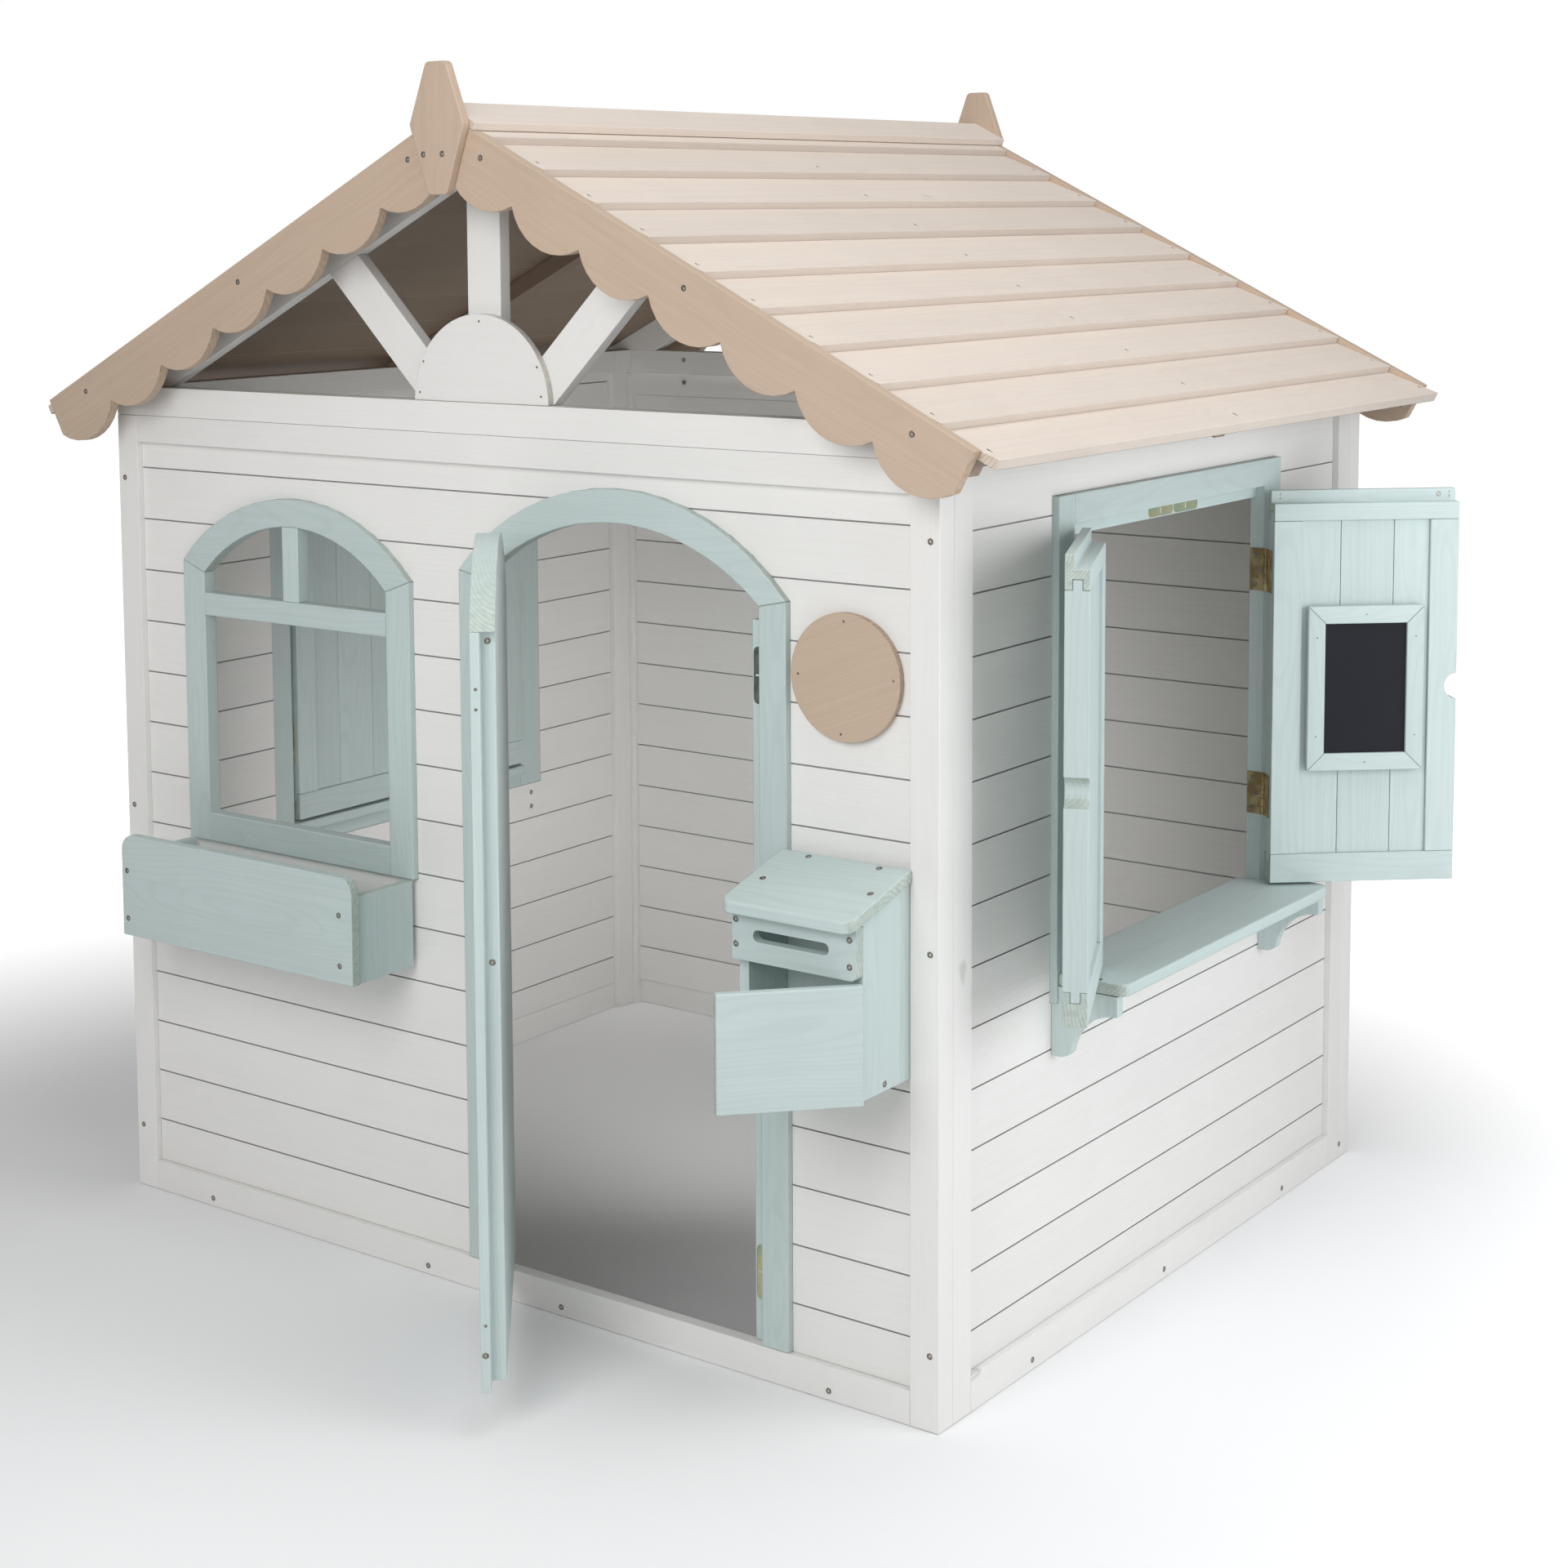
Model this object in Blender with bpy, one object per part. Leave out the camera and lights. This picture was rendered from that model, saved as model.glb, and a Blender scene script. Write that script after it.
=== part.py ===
"""Timber playhouse: four slatted wall panels, a lapped gable roof with scalloped bargeboards, an arched
doorway and window, hinged door and shutters, counters on brackets, a planter and a mailbox.

Lengths are in millimetres here and in metres in the scene. Measured from the front wall's outer face,
"depth" runs into the house along +Y. The origin is under the middle of the front bottom rail."""

import math

import bmesh
import bpy
from mathutils import geometry

# Whole house
HALF_W = 655.5  # half of the width over the walls
DEPTH = 1107.0  # front face to back face
ORIGIN_DEPTH = 10.0  # the origin sits this far behind the front face
GAP = 0.3  # clearance between touching pieces

# Wall panels
STILE_W = 37.5
STILE_D = 30.0
RAIL_D = 17.0
BOARD_FACE = 9.0  # how far the boards lie behind the frame faces
BOARD_T = 11.0
JOINT_PITCH = 70.0
JOINT_W = 1.6
JOINT_D = 2.2
BOTTOM_RAIL_Z = 40.0
TOP_RAIL_Z = (1044.0, 1080.0)
BEAM_TOP_Z = 1119.0
FRAME_T = 20.0  # thickness of the door and window frames

# Roof
PITCH_M = 0.504  # rise over run
RIDGE_Z = 1468.0  # where the planes of the bargeboards' top edges meet
OVERHANG = 54.6  # bargeboard's outer face beyond the wall face
BARGE_T = 15.0
EAVE_X = 752.0

# Notch in the side walls' tops for the middle rafters
NOTCH_Y = (DEPTH / 2 - 15.0, DEPTH / 2 + 15.0)
NOTCH_Z = 1101.0

# Side windows
WIN_Y = (259.0, 852.0)
WIN_Z = (425.0, 1020.0)
OPEN_Y = (296.0, 803.0)
OPEN_TOP = 985.0
STOP_Z = 970.0
SHUTTER_W = 245.0
SHUTTER_Z = (464.0, 965.0)
SHUTTER_LIP_Z = 981.0
SHUTTER_T = 27.5
LIP_T = 11.0
COUNTER_Z = (445.3, 460.3)

# Hinges
BARREL_R = 3.3
PIVOT_OUT = 3.8  # pivot in front of the frame face
PIVOT_IN = 2.1  # pivot inside the opening's edge
HINGE_H = 56.0

# Opening angles at rest
DOOR_OPEN = 50.7
NEAR_OPEN = 155.5
FAR_OPEN = 131.0
FLAP_OPEN = 47.0

WHITE = (0.76, 0.75, 0.73)
MINT = (0.56, 0.66, 0.64)
TAUPE = (0.55, 0.43, 0.33)
BEIGE = (0.74, 0.63, 0.54)
SLATE = (0.02, 0.022, 0.03)
BRASS = (0.16, 0.11, 0.06)

ROOF_COS = 1.0 / math.hypot(1.0, PITCH_M)
ROOF_SIN = PITCH_M * ROOF_COS

for old in list(bpy.data.objects):
    bpy.data.objects.remove(old, do_unlink=True)


def principled(name, colour, roughness, metallic=0.0):
    material = bpy.data.materials.new(name)
    material.use_nodes = True
    shader = material.node_tree.nodes["Principled BSDF"]
    shader.inputs["Base Color"].default_value = (*colour, 1.0)
    shader.inputs["Roughness"].default_value = roughness
    shader.inputs["Metallic"].default_value = metallic
    return material


def add_object(name, bm, colour, origin=(0.0, 0.0), turn=0.0, smooth=False):
    """The mesh as an object, moved to the house's frame. A turned piece has its origin on its own pivot."""
    bmesh.ops.recalc_face_normals(bm, faces=bm.faces)
    for vert in bm.verts:
        vert.co = (
            (vert.co.x - origin[0]) / 1000.0,
            (vert.co.y - origin[1]) / 1000.0,
            vert.co.z / 1000.0,
        )
    mesh = bpy.data.meshes.new(name)
    bm.to_mesh(mesh)
    bm.free()
    if smooth:
        for polygon in mesh.polygons:
            polygon.use_smooth = True
    obj = bpy.data.objects.new(name, mesh)
    bpy.context.scene.collection.objects.link(obj)
    obj.location = (origin[0] / 1000.0, (origin[1] - ORIGIN_DEPTH) / 1000.0, 0.0)
    obj.rotation_euler = (0.0, 0.0, math.radians(turn))
    metal = colour is BRASS
    mesh.materials.append(principled(name, colour, 0.4 if metal else 0.6, 1.0 if metal else 0.0))
    return obj


def placed(axis, pair, along):
    """A point of an outline: (Y, Z) along X, (X, Z) along Y, or (X, Y) along Z."""
    if axis == "X":
        return (along, pair[0], pair[1])
    if axis == "Y":
        return (pair[0], along, pair[1])
    return (pair[0], pair[1], along)


def plate_mesh(outline, axis, low, high, holes=()):
    """A closed prism of an outline, with through holes."""
    bm = bmesh.new()
    loops = [list(outline)] + [list(hole) for hole in holes]
    ends = []
    for along in (low, high):
        ends.append([[bm.verts.new(placed(axis, p, along)) for p in loop] for loop in loops])
    for lower, upper in zip(*ends):
        for i in range(len(lower)):
            j = (i + 1) % len(lower)
            bm.faces.new((lower[i], lower[j], upper[j], upper[i]))
    if holes:
        flat = [[placed("Z", p, 0.0) for p in loop] for loop in loops]
        triangles = geometry.tessellate_polygon(flat)
        for end in ends:
            verts = [v for loop in end for v in loop]
            for tri in triangles:
                bm.faces.new([verts[i] for i in tri])
    else:
        for end in ends:
            bm.faces.new(end[0])
    return bm


def plate(name, colour, outline, axis, low, high, holes=(), **more):
    return add_object(name, plate_mesh(outline, axis, low, high, holes), colour, **more)


def cells_mesh(xs, ys, zs, solid):
    """The closed surface of the grid cells for which solid(x, y, z) holds at the cell's middle."""
    bm = bmesh.new()
    verts = {}

    def vert(i, j, k):
        if (i, j, k) not in verts:
            verts[i, j, k] = bm.verts.new((xs[i], ys[j], zs[k]))
        return verts[i, j, k]

    sizes = (len(xs) - 1, len(ys) - 1, len(zs) - 1)

    def filled(i, j, k):
        if not (0 <= i < sizes[0] and 0 <= j < sizes[1] and 0 <= k < sizes[2]):
            return False
        return solid((xs[i] + xs[i + 1]) / 2, (ys[j] + ys[j + 1]) / 2, (zs[k] + zs[k + 1]) / 2)

    for i in range(sizes[0]):
        for j in range(sizes[1]):
            for k in range(sizes[2]):
                if not filled(i, j, k):
                    continue
                for d in (0, 1):
                    step = 2 * d - 1
                    if not filled(i + step, j, k):
                        a = i + d
                        square = (a, j, k), (a, j + 1, k), (a, j + 1, k + 1), (a, j, k + 1)
                        bm.faces.new([vert(*corner) for corner in square])
                    if not filled(i, j + step, k):
                        a = j + d
                        square = (i, a, k), (i + 1, a, k), (i + 1, a, k + 1), (i, a, k + 1)
                        bm.faces.new([vert(*corner) for corner in square])
                    if not filled(i, j, k + step):
                        a = k + d
                        square = (i, j, a), (i + 1, j, a), (i + 1, j + 1, a), (i, j + 1, a)
                        bm.faces.new([vert(*corner) for corner in square])
    bmesh.ops.recalc_face_normals(bm, faces=bm.faces)
    bmesh.ops.dissolve_limit(
        bm, angle_limit=0.001, use_dissolve_boundaries=False, verts=bm.verts, edges=bm.edges, delimit=set()
    )
    bmesh.ops.triangulate(bm, faces=[f for f in bm.faces if len(f.verts) > 4])
    return bm


def cells(name, colour, xs, ys, zs, solid, **more):
    return add_object(name, cells_mesh(sorted(xs), sorted(ys), sorted(zs), solid), colour, **more)


def cut(obj, cutters):
    """Takes the cutter meshes out of the object, and leaves a plain mesh."""
    for bm in cutters:
        tool = add_object(obj.name + "_cutter", bm, WHITE)
        tool.hide_render = True
        tool.display_type = "WIRE"
        if obj.location.length > 0.02:
            tool.location = (0.0, 0.0, 0.0)
            tool.parent = obj
        modifier = obj.modifiers.new("cut", "BOOLEAN")
        modifier.operation = "DIFFERENCE"
        modifier.solver = "EXACT"
        modifier.object = tool
        bpy.context.view_layer.update()
        graph = bpy.context.evaluated_depsgraph_get()
        result = bpy.data.meshes.new_from_object(obj.evaluated_get(graph))
        obj.modifiers.clear()
        spare = obj.data
        obj.data = result
        bpy.data.meshes.remove(spare)
        bpy.data.objects.remove(tool, do_unlink=True)
        bm2 = bmesh.new()
        bm2.from_mesh(obj.data)
        bmesh.ops.remove_doubles(bm2, verts=bm2.verts, dist=0.00001)
        bmesh.ops.dissolve_degenerate(bm2, edges=bm2.edges, dist=0.00001)
        bm2.to_mesh(obj.data)
        bm2.free()
    return obj


def rectangle(u0, u1, v0, v1):
    return [(u0, v0), (u1, v0), (u1, v1), (u0, v1)]


def arc(centre, radius, start, stop, steps):
    points = []
    for i in range(steps + 1):
        angle = math.radians(start + (stop - start) * i / steps)
        points.append((centre[0] + radius * math.cos(angle), centre[1] + radius * math.sin(angle)))
    return points


def arched(centre, half, foot, spring, top, steps=16):
    """A doorway outline: upright sides, then a shallow arc from one spring point to the other."""
    rise = top - spring
    radius = (half * half + rise * rise) / (2 * rise)
    sweep = math.degrees(math.asin(half / radius))
    middle = (centre, top - radius)
    feet = [(centre - half, foot), (centre + half, foot)]
    return feet + arc(middle, radius, 90 - sweep, 90 + sweep, steps)


def slope(x, below=0.0):
    """A point of a roof slope at |X| = x, at a distance under the plane of the bargeboards' top edges."""
    return (x, RIDGE_Z - PITCH_M * x - below / ROOF_COS)


def down_slope(s, out):
    """A point by distance down the slope from the ridge, and distance out of the roof plane."""
    return (s * ROOF_COS + out * ROOF_SIN, RIDGE_Z - s * ROOF_SIN + out * ROOF_COS)


def mirrored(outline):
    return [(-u, v) for u, v in outline]


def joints(first, last, pitch=JOINT_PITCH):
    found = []
    z = first
    while z < last:
        found.append(z)
        z += pitch
    return found


def banded(lines):
    """Grid values on both edges of each joint groove."""
    return [z + d * JOINT_W / 2 for z in lines for d in (-1, 1)]


def in_joint(value, lines):
    return any(abs(value - z) < JOINT_W / 2 for z in lines)


# ---------------------------------------------------------------------------------------------- walls


def end_wall_frame(name, face, inward):
    """Stiles, bottom rail and top rail of the front or back panel."""

    def depth(d):
        return face + inward * d

    def solid(x, y, z):
        d = (y - face) * inward
        if abs(x) > HALF_W - STILE_W:
            return z < TOP_RAIL_Z[1]
        if z < BOTTOM_RAIL_Z:
            return d < RAIL_D
        return z > TOP_RAIL_Z[0] and d < FRAME_T

    inner = HALF_W - STILE_W
    ys = [depth(0), depth(RAIL_D), depth(FRAME_T), depth(STILE_D)]
    zs = [0.0, BOTTOM_RAIL_Z, *TOP_RAIL_Z]
    return cells(name, WHITE, [-HALF_W, -inner, inner, HALF_W], ys, zs, solid)


def end_wall_boards(name, low, high):
    """Level boards with a groove at each joint, on both faces."""
    lines = joints(98.6, 1020.0)
    half = HALF_W - STILE_W - GAP

    def solid(x, y, z):
        return not in_joint(z, lines) or low + JOINT_D < y < high - JOINT_D

    ys = [low, low + JOINT_D, high - JOINT_D, high]
    zs = [BOTTOM_RAIL_Z + GAP, TOP_RAIL_Z[0] - GAP, *banded(lines)]
    return cells(name, WHITE, [-half, half], ys, zs, solid)


end_wall_frame("front_wall_frame", 0.0, 1)
end_wall_frame("back_wall_frame", DEPTH, -1)
front_boards = end_wall_boards("front_wall_boards", BOARD_FACE, BOARD_FACE + BOARD_T)
end_wall_boards("back_wall_boards", DEPTH - BOARD_FACE - BOARD_T, DEPTH - BOARD_FACE)

DOOR_C = 208.3
DOOR_OUT = dict(half=245.3, spring=913.0, top=1026.0)
DOOR_IN = dict(half=208.0, spring=905.0, top=986.0)
WINDOW_C = -327.0
WINDOW_SILL = 511.0
WINDOW_OUT = dict(half=205.5, spring=890.0, top=982.0)
WINDOW_IN = dict(half=165.5, spring=875.0, top=946.0)


def grown(shape, by):
    return dict(half=shape["half"] + by, spring=shape["spring"], top=shape["top"] + by)


cut(
    front_boards,
    [
        plate_mesh(arched(DOOR_C, foot=20.0, **grown(DOOR_OUT, GAP)), "Y", 0.0, 40.0),
        plate_mesh(arched(WINDOW_C, foot=WINDOW_SILL - GAP, **grown(WINDOW_OUT, GAP)), "Y", 0.0, 40.0),
    ],
)


def door_frame():
    """One arched band: both jambs and the head."""
    outer = arched(DOOR_C, foot=BOTTOM_RAIL_Z + GAP, **DOOR_OUT)
    inner = arched(DOOR_C, foot=BOTTOM_RAIL_Z + GAP, **DOOR_IN)
    outline = [outer[0]] + outer[:1:-1] + [outer[1], inner[1]] + inner[2:] + [inner[0]]
    return plate("door_frame", MINT, outline, "Y", 0.0, FRAME_T)


door_frame()

JAMB_L = DOOR_C - DOOR_IN["half"]
JAMB_R = DOOR_C + DOOR_IN["half"]
HEAD_Z = 902.0  # underside of the door's solid head, above the stop
plate(
    "door_stop",
    MINT,
    rectangle(JAMB_R - 17.0, JAMB_R - GAP, BOTTOM_RAIL_Z + GAP, HEAD_Z - 14.0),
    "Y",
    LIP_T + GAP,
    FRAME_T + 22.0,
)


def front_window():
    """Arched frame with a transom and a mullion above it."""
    sill = 549.5
    transom = (817.5, 848.0)
    mullion = (-344.0, -315.0)
    outer = arched(WINDOW_C, foot=WINDOW_SILL, **WINDOW_OUT)
    left, right = WINDOW_C - WINDOW_IN["half"], WINDOW_C + WINDOW_IN["half"]
    rise = WINDOW_IN["top"] - WINDOW_IN["spring"]
    radius = (WINDOW_IN["half"] ** 2 + rise**2) / (2 * rise)
    middle = (WINDOW_C, WINDOW_IN["top"] - radius)

    def angle_at(x):
        return math.degrees(math.acos((x - middle[0]) / radius))

    pane_left = [(left, transom[1]), (mullion[0], transom[1])]
    pane_left += arc(middle, radius, angle_at(mullion[0]), angle_at(left), 8)
    pane_right = [(mullion[1], transom[1]), (right, transom[1])]
    pane_right += arc(middle, radius, angle_at(right), angle_at(mullion[1]), 8)
    holes = [rectangle(left, right, sill, transom[0]), pane_left, pane_right]
    return plate("front_window_frame", MINT, outer, "Y", 0.0, FRAME_T, holes=holes)


front_window()


def side_wall_frame(name, side):
    """Stiles, bottom rail and an inner plate under the eave."""
    near = (STILE_D + GAP, 69.0)
    far = (1038.0, DEPTH - STILE_D - GAP)
    face = HALF_W
    board_back = HALF_W - BOARD_FACE - BOARD_T - GAP

    def solid(x, y, z):
        d = face - abs(x)
        if y < near[1] or y > far[0]:
            return d < 30.0 or z > 1085.0
        if z < 42.0:
            return d < 20.0
        if NOTCH_Y[0] < y < NOTCH_Y[1] and z > NOTCH_Z:
            return False
        return z > 1085.0 and abs(x) < board_back

    xs = [side * v for v in (face, face - 20.0, board_back, face - 30.0, board_back - 18.0)]
    zs = [0.0, 42.0, 1085.0, NOTCH_Z, BEAM_TOP_Z]
    return cells(name, WHITE, xs, [*near, *NOTCH_Y, *far], zs, solid)


def side_wall_boards(name, side):
    lines = joints(87.8, 1100.0)
    outer = HALF_W - BOARD_FACE
    inner = outer - BOARD_T

    def solid(x, y, z):
        in_window = WIN_Y[0] - GAP < y < WIN_Y[1] + GAP and WIN_Z[0] - GAP < z < WIN_Z[1] + GAP
        grooved = in_joint(z, lines) and not inner + JOINT_D < abs(x) < outer - JOINT_D
        notched = NOTCH_Y[0] < y < NOTCH_Y[1] and z > NOTCH_Z
        return not (in_window or grooved or notched)

    xs = [side * v for v in (inner, inner + JOINT_D, outer - JOINT_D, outer)]
    ys = [69.0 + GAP, WIN_Y[0] - GAP, *NOTCH_Y, WIN_Y[1] + GAP, 1038.0 - GAP]
    zs = [42.0 + GAP, NOTCH_Z, BEAM_TOP_Z, WIN_Z[0] - GAP, WIN_Z[1] + GAP, *banded(lines)]
    return cells(name, WHITE, xs, ys, zs, solid)


def side_window_frame(name, side):
    """Stiles, rails and the stop strip that the shutters' lips close against."""
    strip = HALF_W - LIP_T - GAP

    def solid(x, y, z):
        inside = OPEN_Y[0] < y < OPEN_Y[1] and 445.0 < z < OPEN_TOP
        return not inside or (z > STOP_Z and abs(x) < strip)

    xs = [side * v for v in (HALF_W - FRAME_T, strip, HALF_W)]
    return cells(name, MINT, xs, [*WIN_Y, *OPEN_Y], [*WIN_Z, 445.0, STOP_Z, OPEN_TOP], solid)


def counter(name, side):
    """Passes through the window opening and widens into ears in front of the frame."""
    back, front = 625.0, 744.0
    ear = HALF_W + GAP
    near, far = 262.0, 832.0
    slack = 0.6
    outline = [(back, OPEN_Y[0] + slack), (ear, OPEN_Y[0] + slack), (ear, near)]
    outline += arc((front - 14.0, near + 14.0), 14.0, -90, 0, 5)
    outline += arc((front - 20.0, far - 20.0), 20.0, 0, 90, 6)
    outline += [(ear, far), (ear, OPEN_Y[1] - slack), (back, OPEN_Y[1] - slack)]
    outline = [(side * x, y) for x, y in outline]
    return plate(name, MINT, outline, "Z", *COUNTER_Z)


def bracket(name, side, low, high):
    """Stepped at the back where the window frame ends, with a hollow curve in front."""
    top = COUNTER_Z[0] - GAP
    wall = HALF_W - BOARD_FACE + GAP
    frame = HALF_W + GAP
    step = WIN_Z[0] - GAP
    outline = [(frame, step), (frame, top), (733.0, top), (733.0, 420.5)]
    outline += arc((733.0, 359.5), 61.0, 96, 172, 8)
    outline += [(668.0, 364.0), (661.0, 361.0), (wall, 361.0), (wall, step)]
    outline = [(side * x, z) for x, z in outline]
    return plate(name, MINT, outline, "Y", low, high)


def shutter(name, side, near, turn):
    """Framed boards in one leaf. The rebated top leaves a lip that closes against the stop strip."""
    hinge_edge = OPEN_Y[0] + 2 * PIVOT_IN if near else OPEN_Y[1] - 2 * PIVOT_IN
    way = 1 if near else -1
    pivot = (side * (HALF_W + PIVOT_OUT), hinge_edge - way * PIVOT_IN)
    low, high = SHUTTER_Z
    lip = HALF_W - LIP_T
    back = HALF_W - SHUTTER_T
    stile, rail, sunk = 38.0, 38.0, 4.5
    lines = [hinge_edge + way * v for v in (51.5 + stile, 122.0 + stile)]

    def solid(x, y, z):
        u = abs(x)
        if z > high:
            return u > lip
        along = (y - hinge_edge) * way
        panel = stile < along < SHUTTER_W - stile and low + rail < z < high - rail * 0.6
        if not panel:
            return True
        if in_joint(y, lines):
            return back + sunk + JOINT_D < u < HALF_W - sunk - JOINT_D
        return back + sunk < u < HALF_W - sunk

    xs = [back, back + sunk, back + sunk + JOINT_D, lip, HALF_W - sunk - JOINT_D, HALF_W - sunk, HALF_W]
    ys = [hinge_edge + way * v for v in (0.0, stile, SHUTTER_W - stile, SHUTTER_W)]
    zs = [low, low + rail, high - rail * 0.6, high, SHUTTER_LIP_Z]
    leaf = cells(name, MINT, [side * x for x in xs], ys + banded(lines), zs, solid, origin=pivot, turn=turn)
    bite = arc((SHUTTER_W + 1.0, 722.0), 17.0, 0, 337.5, 15)
    notch = [(hinge_edge + way * u, v) for u, v in bite]
    tool = plate_mesh([(y - pivot[1], z) for y, z in notch], "X", -60.0, 60.0)
    return cut(leaf, [tool])


def hinge(name, outline_xy, z):
    return plate(name, BRASS, outline_xy, "Z", z - HINGE_H / 2, z + HINGE_H / 2)


def hinge_outline(along, edge):
    """Fixed leaf and barrel in a plane: u runs out of the opening, v across it from the jamb's edge."""
    thin = 1.6
    leaf0, leaf1 = edge + GAP, edge + GAP + thin
    centre = (PIVOT_OUT, edge + PIVOT_IN)
    low = math.degrees(math.asin((leaf0 - centre[1]) / BARREL_R))
    high = math.degrees(math.asin((leaf1 - centre[1]) / BARREL_R))
    points = [(-along, leaf0)]
    points += arc(centre, BARREL_R, 180 - low, 360 + 180 - high, 14)
    points += [(-along, leaf1)]
    return points


def side_hinges(prefix, side):
    for place, edge, way in (("near", OPEN_Y[0], 1), ("far", OPEN_Y[1], -1)):
        outline = []
        for u, v in hinge_outline(19.0, 0.0):
            outline.append((side * (HALF_W + u), edge + way * v))
        for level, z in (("upper", 875.0), ("lower", 577.0)):
            hinge(f"{prefix}_{place}_hinge_{level}", outline, z)


for prefix, side in (("right", 1), ("left", -1)):
    side_wall_frame(f"{prefix}_wall_frame", side)
    side_wall_boards(f"{prefix}_wall_boards", side)
    side_window_frame(f"{prefix}_window_frame", side)
    counter(f"{prefix}_counter", side)
    bracket(f"{prefix}_bracket_near", side, 262.0, 276.0)
    bracket(f"{prefix}_bracket_far", side, 818.0, 832.0)
    side_hinges(prefix, side)

shutter("right_shutter_near", 1, True, -NEAR_OPEN)
far_leaf = shutter("right_shutter_far", 1, False, FAR_OPEN)
shutter("left_shutter_near", -1, True, 0.0)
shutter("left_shutter_far", -1, False, 0.0)


def blackboard():
    """Slate in a raised border, on the inner face of the far right shutter."""
    pivot = (HALF_W + PIVOT_OUT, OPEN_Y[1] - PIVOT_IN)
    edge = pivot[1] - PIVOT_IN
    face = HALF_W - SHUTTER_T - GAP
    y0, y1 = edge - 44.0, edge - 198.0
    z0, z1 = 614.0, 831.0
    band, border_t, slate_t = 23.0, 9.0, 5.0

    def solid(x, y, z):
        inner = y1 + band < y < y0 - band and z0 + band < z < z1 - band
        return x > face - slate_t if inner else True

    xs = [face, face - slate_t, face - border_t]
    ys = [y0, y0 - band, y1 + band, y1]
    zs = [z0, z0 + band, z1 - band, z1]
    return cells("blackboard", SLATE, xs, ys, zs, solid, origin=pivot, turn=FAR_OPEN)


blackboard()

# ----------------------------------------------------------------------------------------------- door


def door_leaf():
    """Arched leaf, rebated on its foot and, up to its solid head, on the free edge that meets the stop."""
    pivot = (JAMB_L + PIVOT_IN, -PIVOT_OUT)
    hinge_x = JAMB_L + 2 * PIVOT_IN
    width = 397.5
    lip = dict(centre=hinge_x + width / 2, half=width / 2, foot=55.0, spring=903.0, top=983.5)
    bm = bmesh.new()
    edge = hinge_x + width
    left_foot, right_foot, *arch = arched(**lip, steps=18)
    outer = [left_foot, right_foot, (edge, HEAD_Z), (edge, HEAD_Z), *arch]
    inner = [(hinge_x, 62.0), (edge - 16.0, 62.0), (edge - 16.0, HEAD_Z), (edge, HEAD_Z), *arch]
    loops = []
    for outline, y in ((outer, 0.0), (outer, LIP_T), (inner, LIP_T), (inner, SHUTTER_T)):
        loops.append([bm.verts.new((x, y, z)) for x, z in outline])
    for lower, upper in zip(loops, loops[1:]):
        for i in range(len(lower)):
            j = (i + 1) % len(lower)
            bm.faces.new((lower[i], lower[j], upper[j], upper[i]))
    bm.faces.new(loops[0])
    bm.faces.new(loops[-1])
    bmesh.ops.remove_doubles(bm, verts=bm.verts, dist=0.0001)
    bmesh.ops.dissolve_degenerate(bm, edges=bm.edges, dist=0.0001)
    leaf = add_object("door_leaf", bm, MINT, origin=pivot, turn=-DOOR_OPEN)
    left, right = hinge_x + 38.0, hinge_x + width - 54.0
    panels = [rectangle(left, right, 102.0, 516.0)]
    middle = (left + right) / 2
    panels.append(arched(middle, (right - left) / 2, 556.0, 862.0, 925.0, steps=12))
    tools = []
    for panel in panels:
        for low, high in ((-5.0, 4.5), (SHUTTER_T - 4.5, SHUTTER_T + 5.0)):
            shape = [(x - pivot[0], z) for x, z in panel]
            tools.append(plate_mesh(shape, "Y", low - pivot[1], high - pivot[1]))
    return cut(leaf, tools)


door_leaf()
for level, z in (("upper", 812.0), ("lower", 212.0)):
    shape = [(JAMB_L + v, -u) for u, v in hinge_outline(19.0, 0.0)]
    hinge(f"door_hinge_{level}", shape, z)

# ------------------------------------------------------------------------- front fittings


def rounded_top(u0, u1, v0, v1, r):
    return [(u0, v0), (u1, v0)] + arc((u1 - r, v1 - r), r, 0, 90, 5) + arc((u0 + r, v1 - r), r, 90, 180, 5)


PLANTER_X = (-533.0, -122.0)
PLANTER_Z = (400.0, 510.5)
PLANTER_FRONT = rounded_top(PLANTER_X[0] - 3.0, PLANTER_X[1] + 6.5, 402.0, 537.0, 20.0)
plate("planter_front", MINT, PLANTER_FRONT, "Y", -118.0, -104.0)


def planter_solid(x, y, z):
    return x < PLANTER_X[0] + 12.0 or x > PLANTER_X[1] - 13.0 or z < PLANTER_Z[0] + 12.0


cells(
    "planter_tray",
    MINT,
    [PLANTER_X[0], PLANTER_X[0] + 12.0, PLANTER_X[1] - 13.0, PLANTER_X[1] - 1.0],
    [-104.0 + GAP, -GAP],
    [PLANTER_Z[0], PLANTER_Z[0] + 12.0, PLANTER_Z[1]],
    planter_solid,
)

SIGN_Y = (-GAP, BOARD_FACE - GAP)
plate("round_sign", TAUPE, arc((533.0, 835.0), 72.5, 0, 352.5, 47), "Y", *SIGN_Y)

BOX_X = (454.1, 617.6)
BOX_BOTTOM = 397.0
BOX_FRONT = -92.0
BACK_BOARD_Y = -17.3
LID_SLOPE = 0.28


def lid_under(y):
    return 618.5 + LID_SLOPE * y


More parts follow.
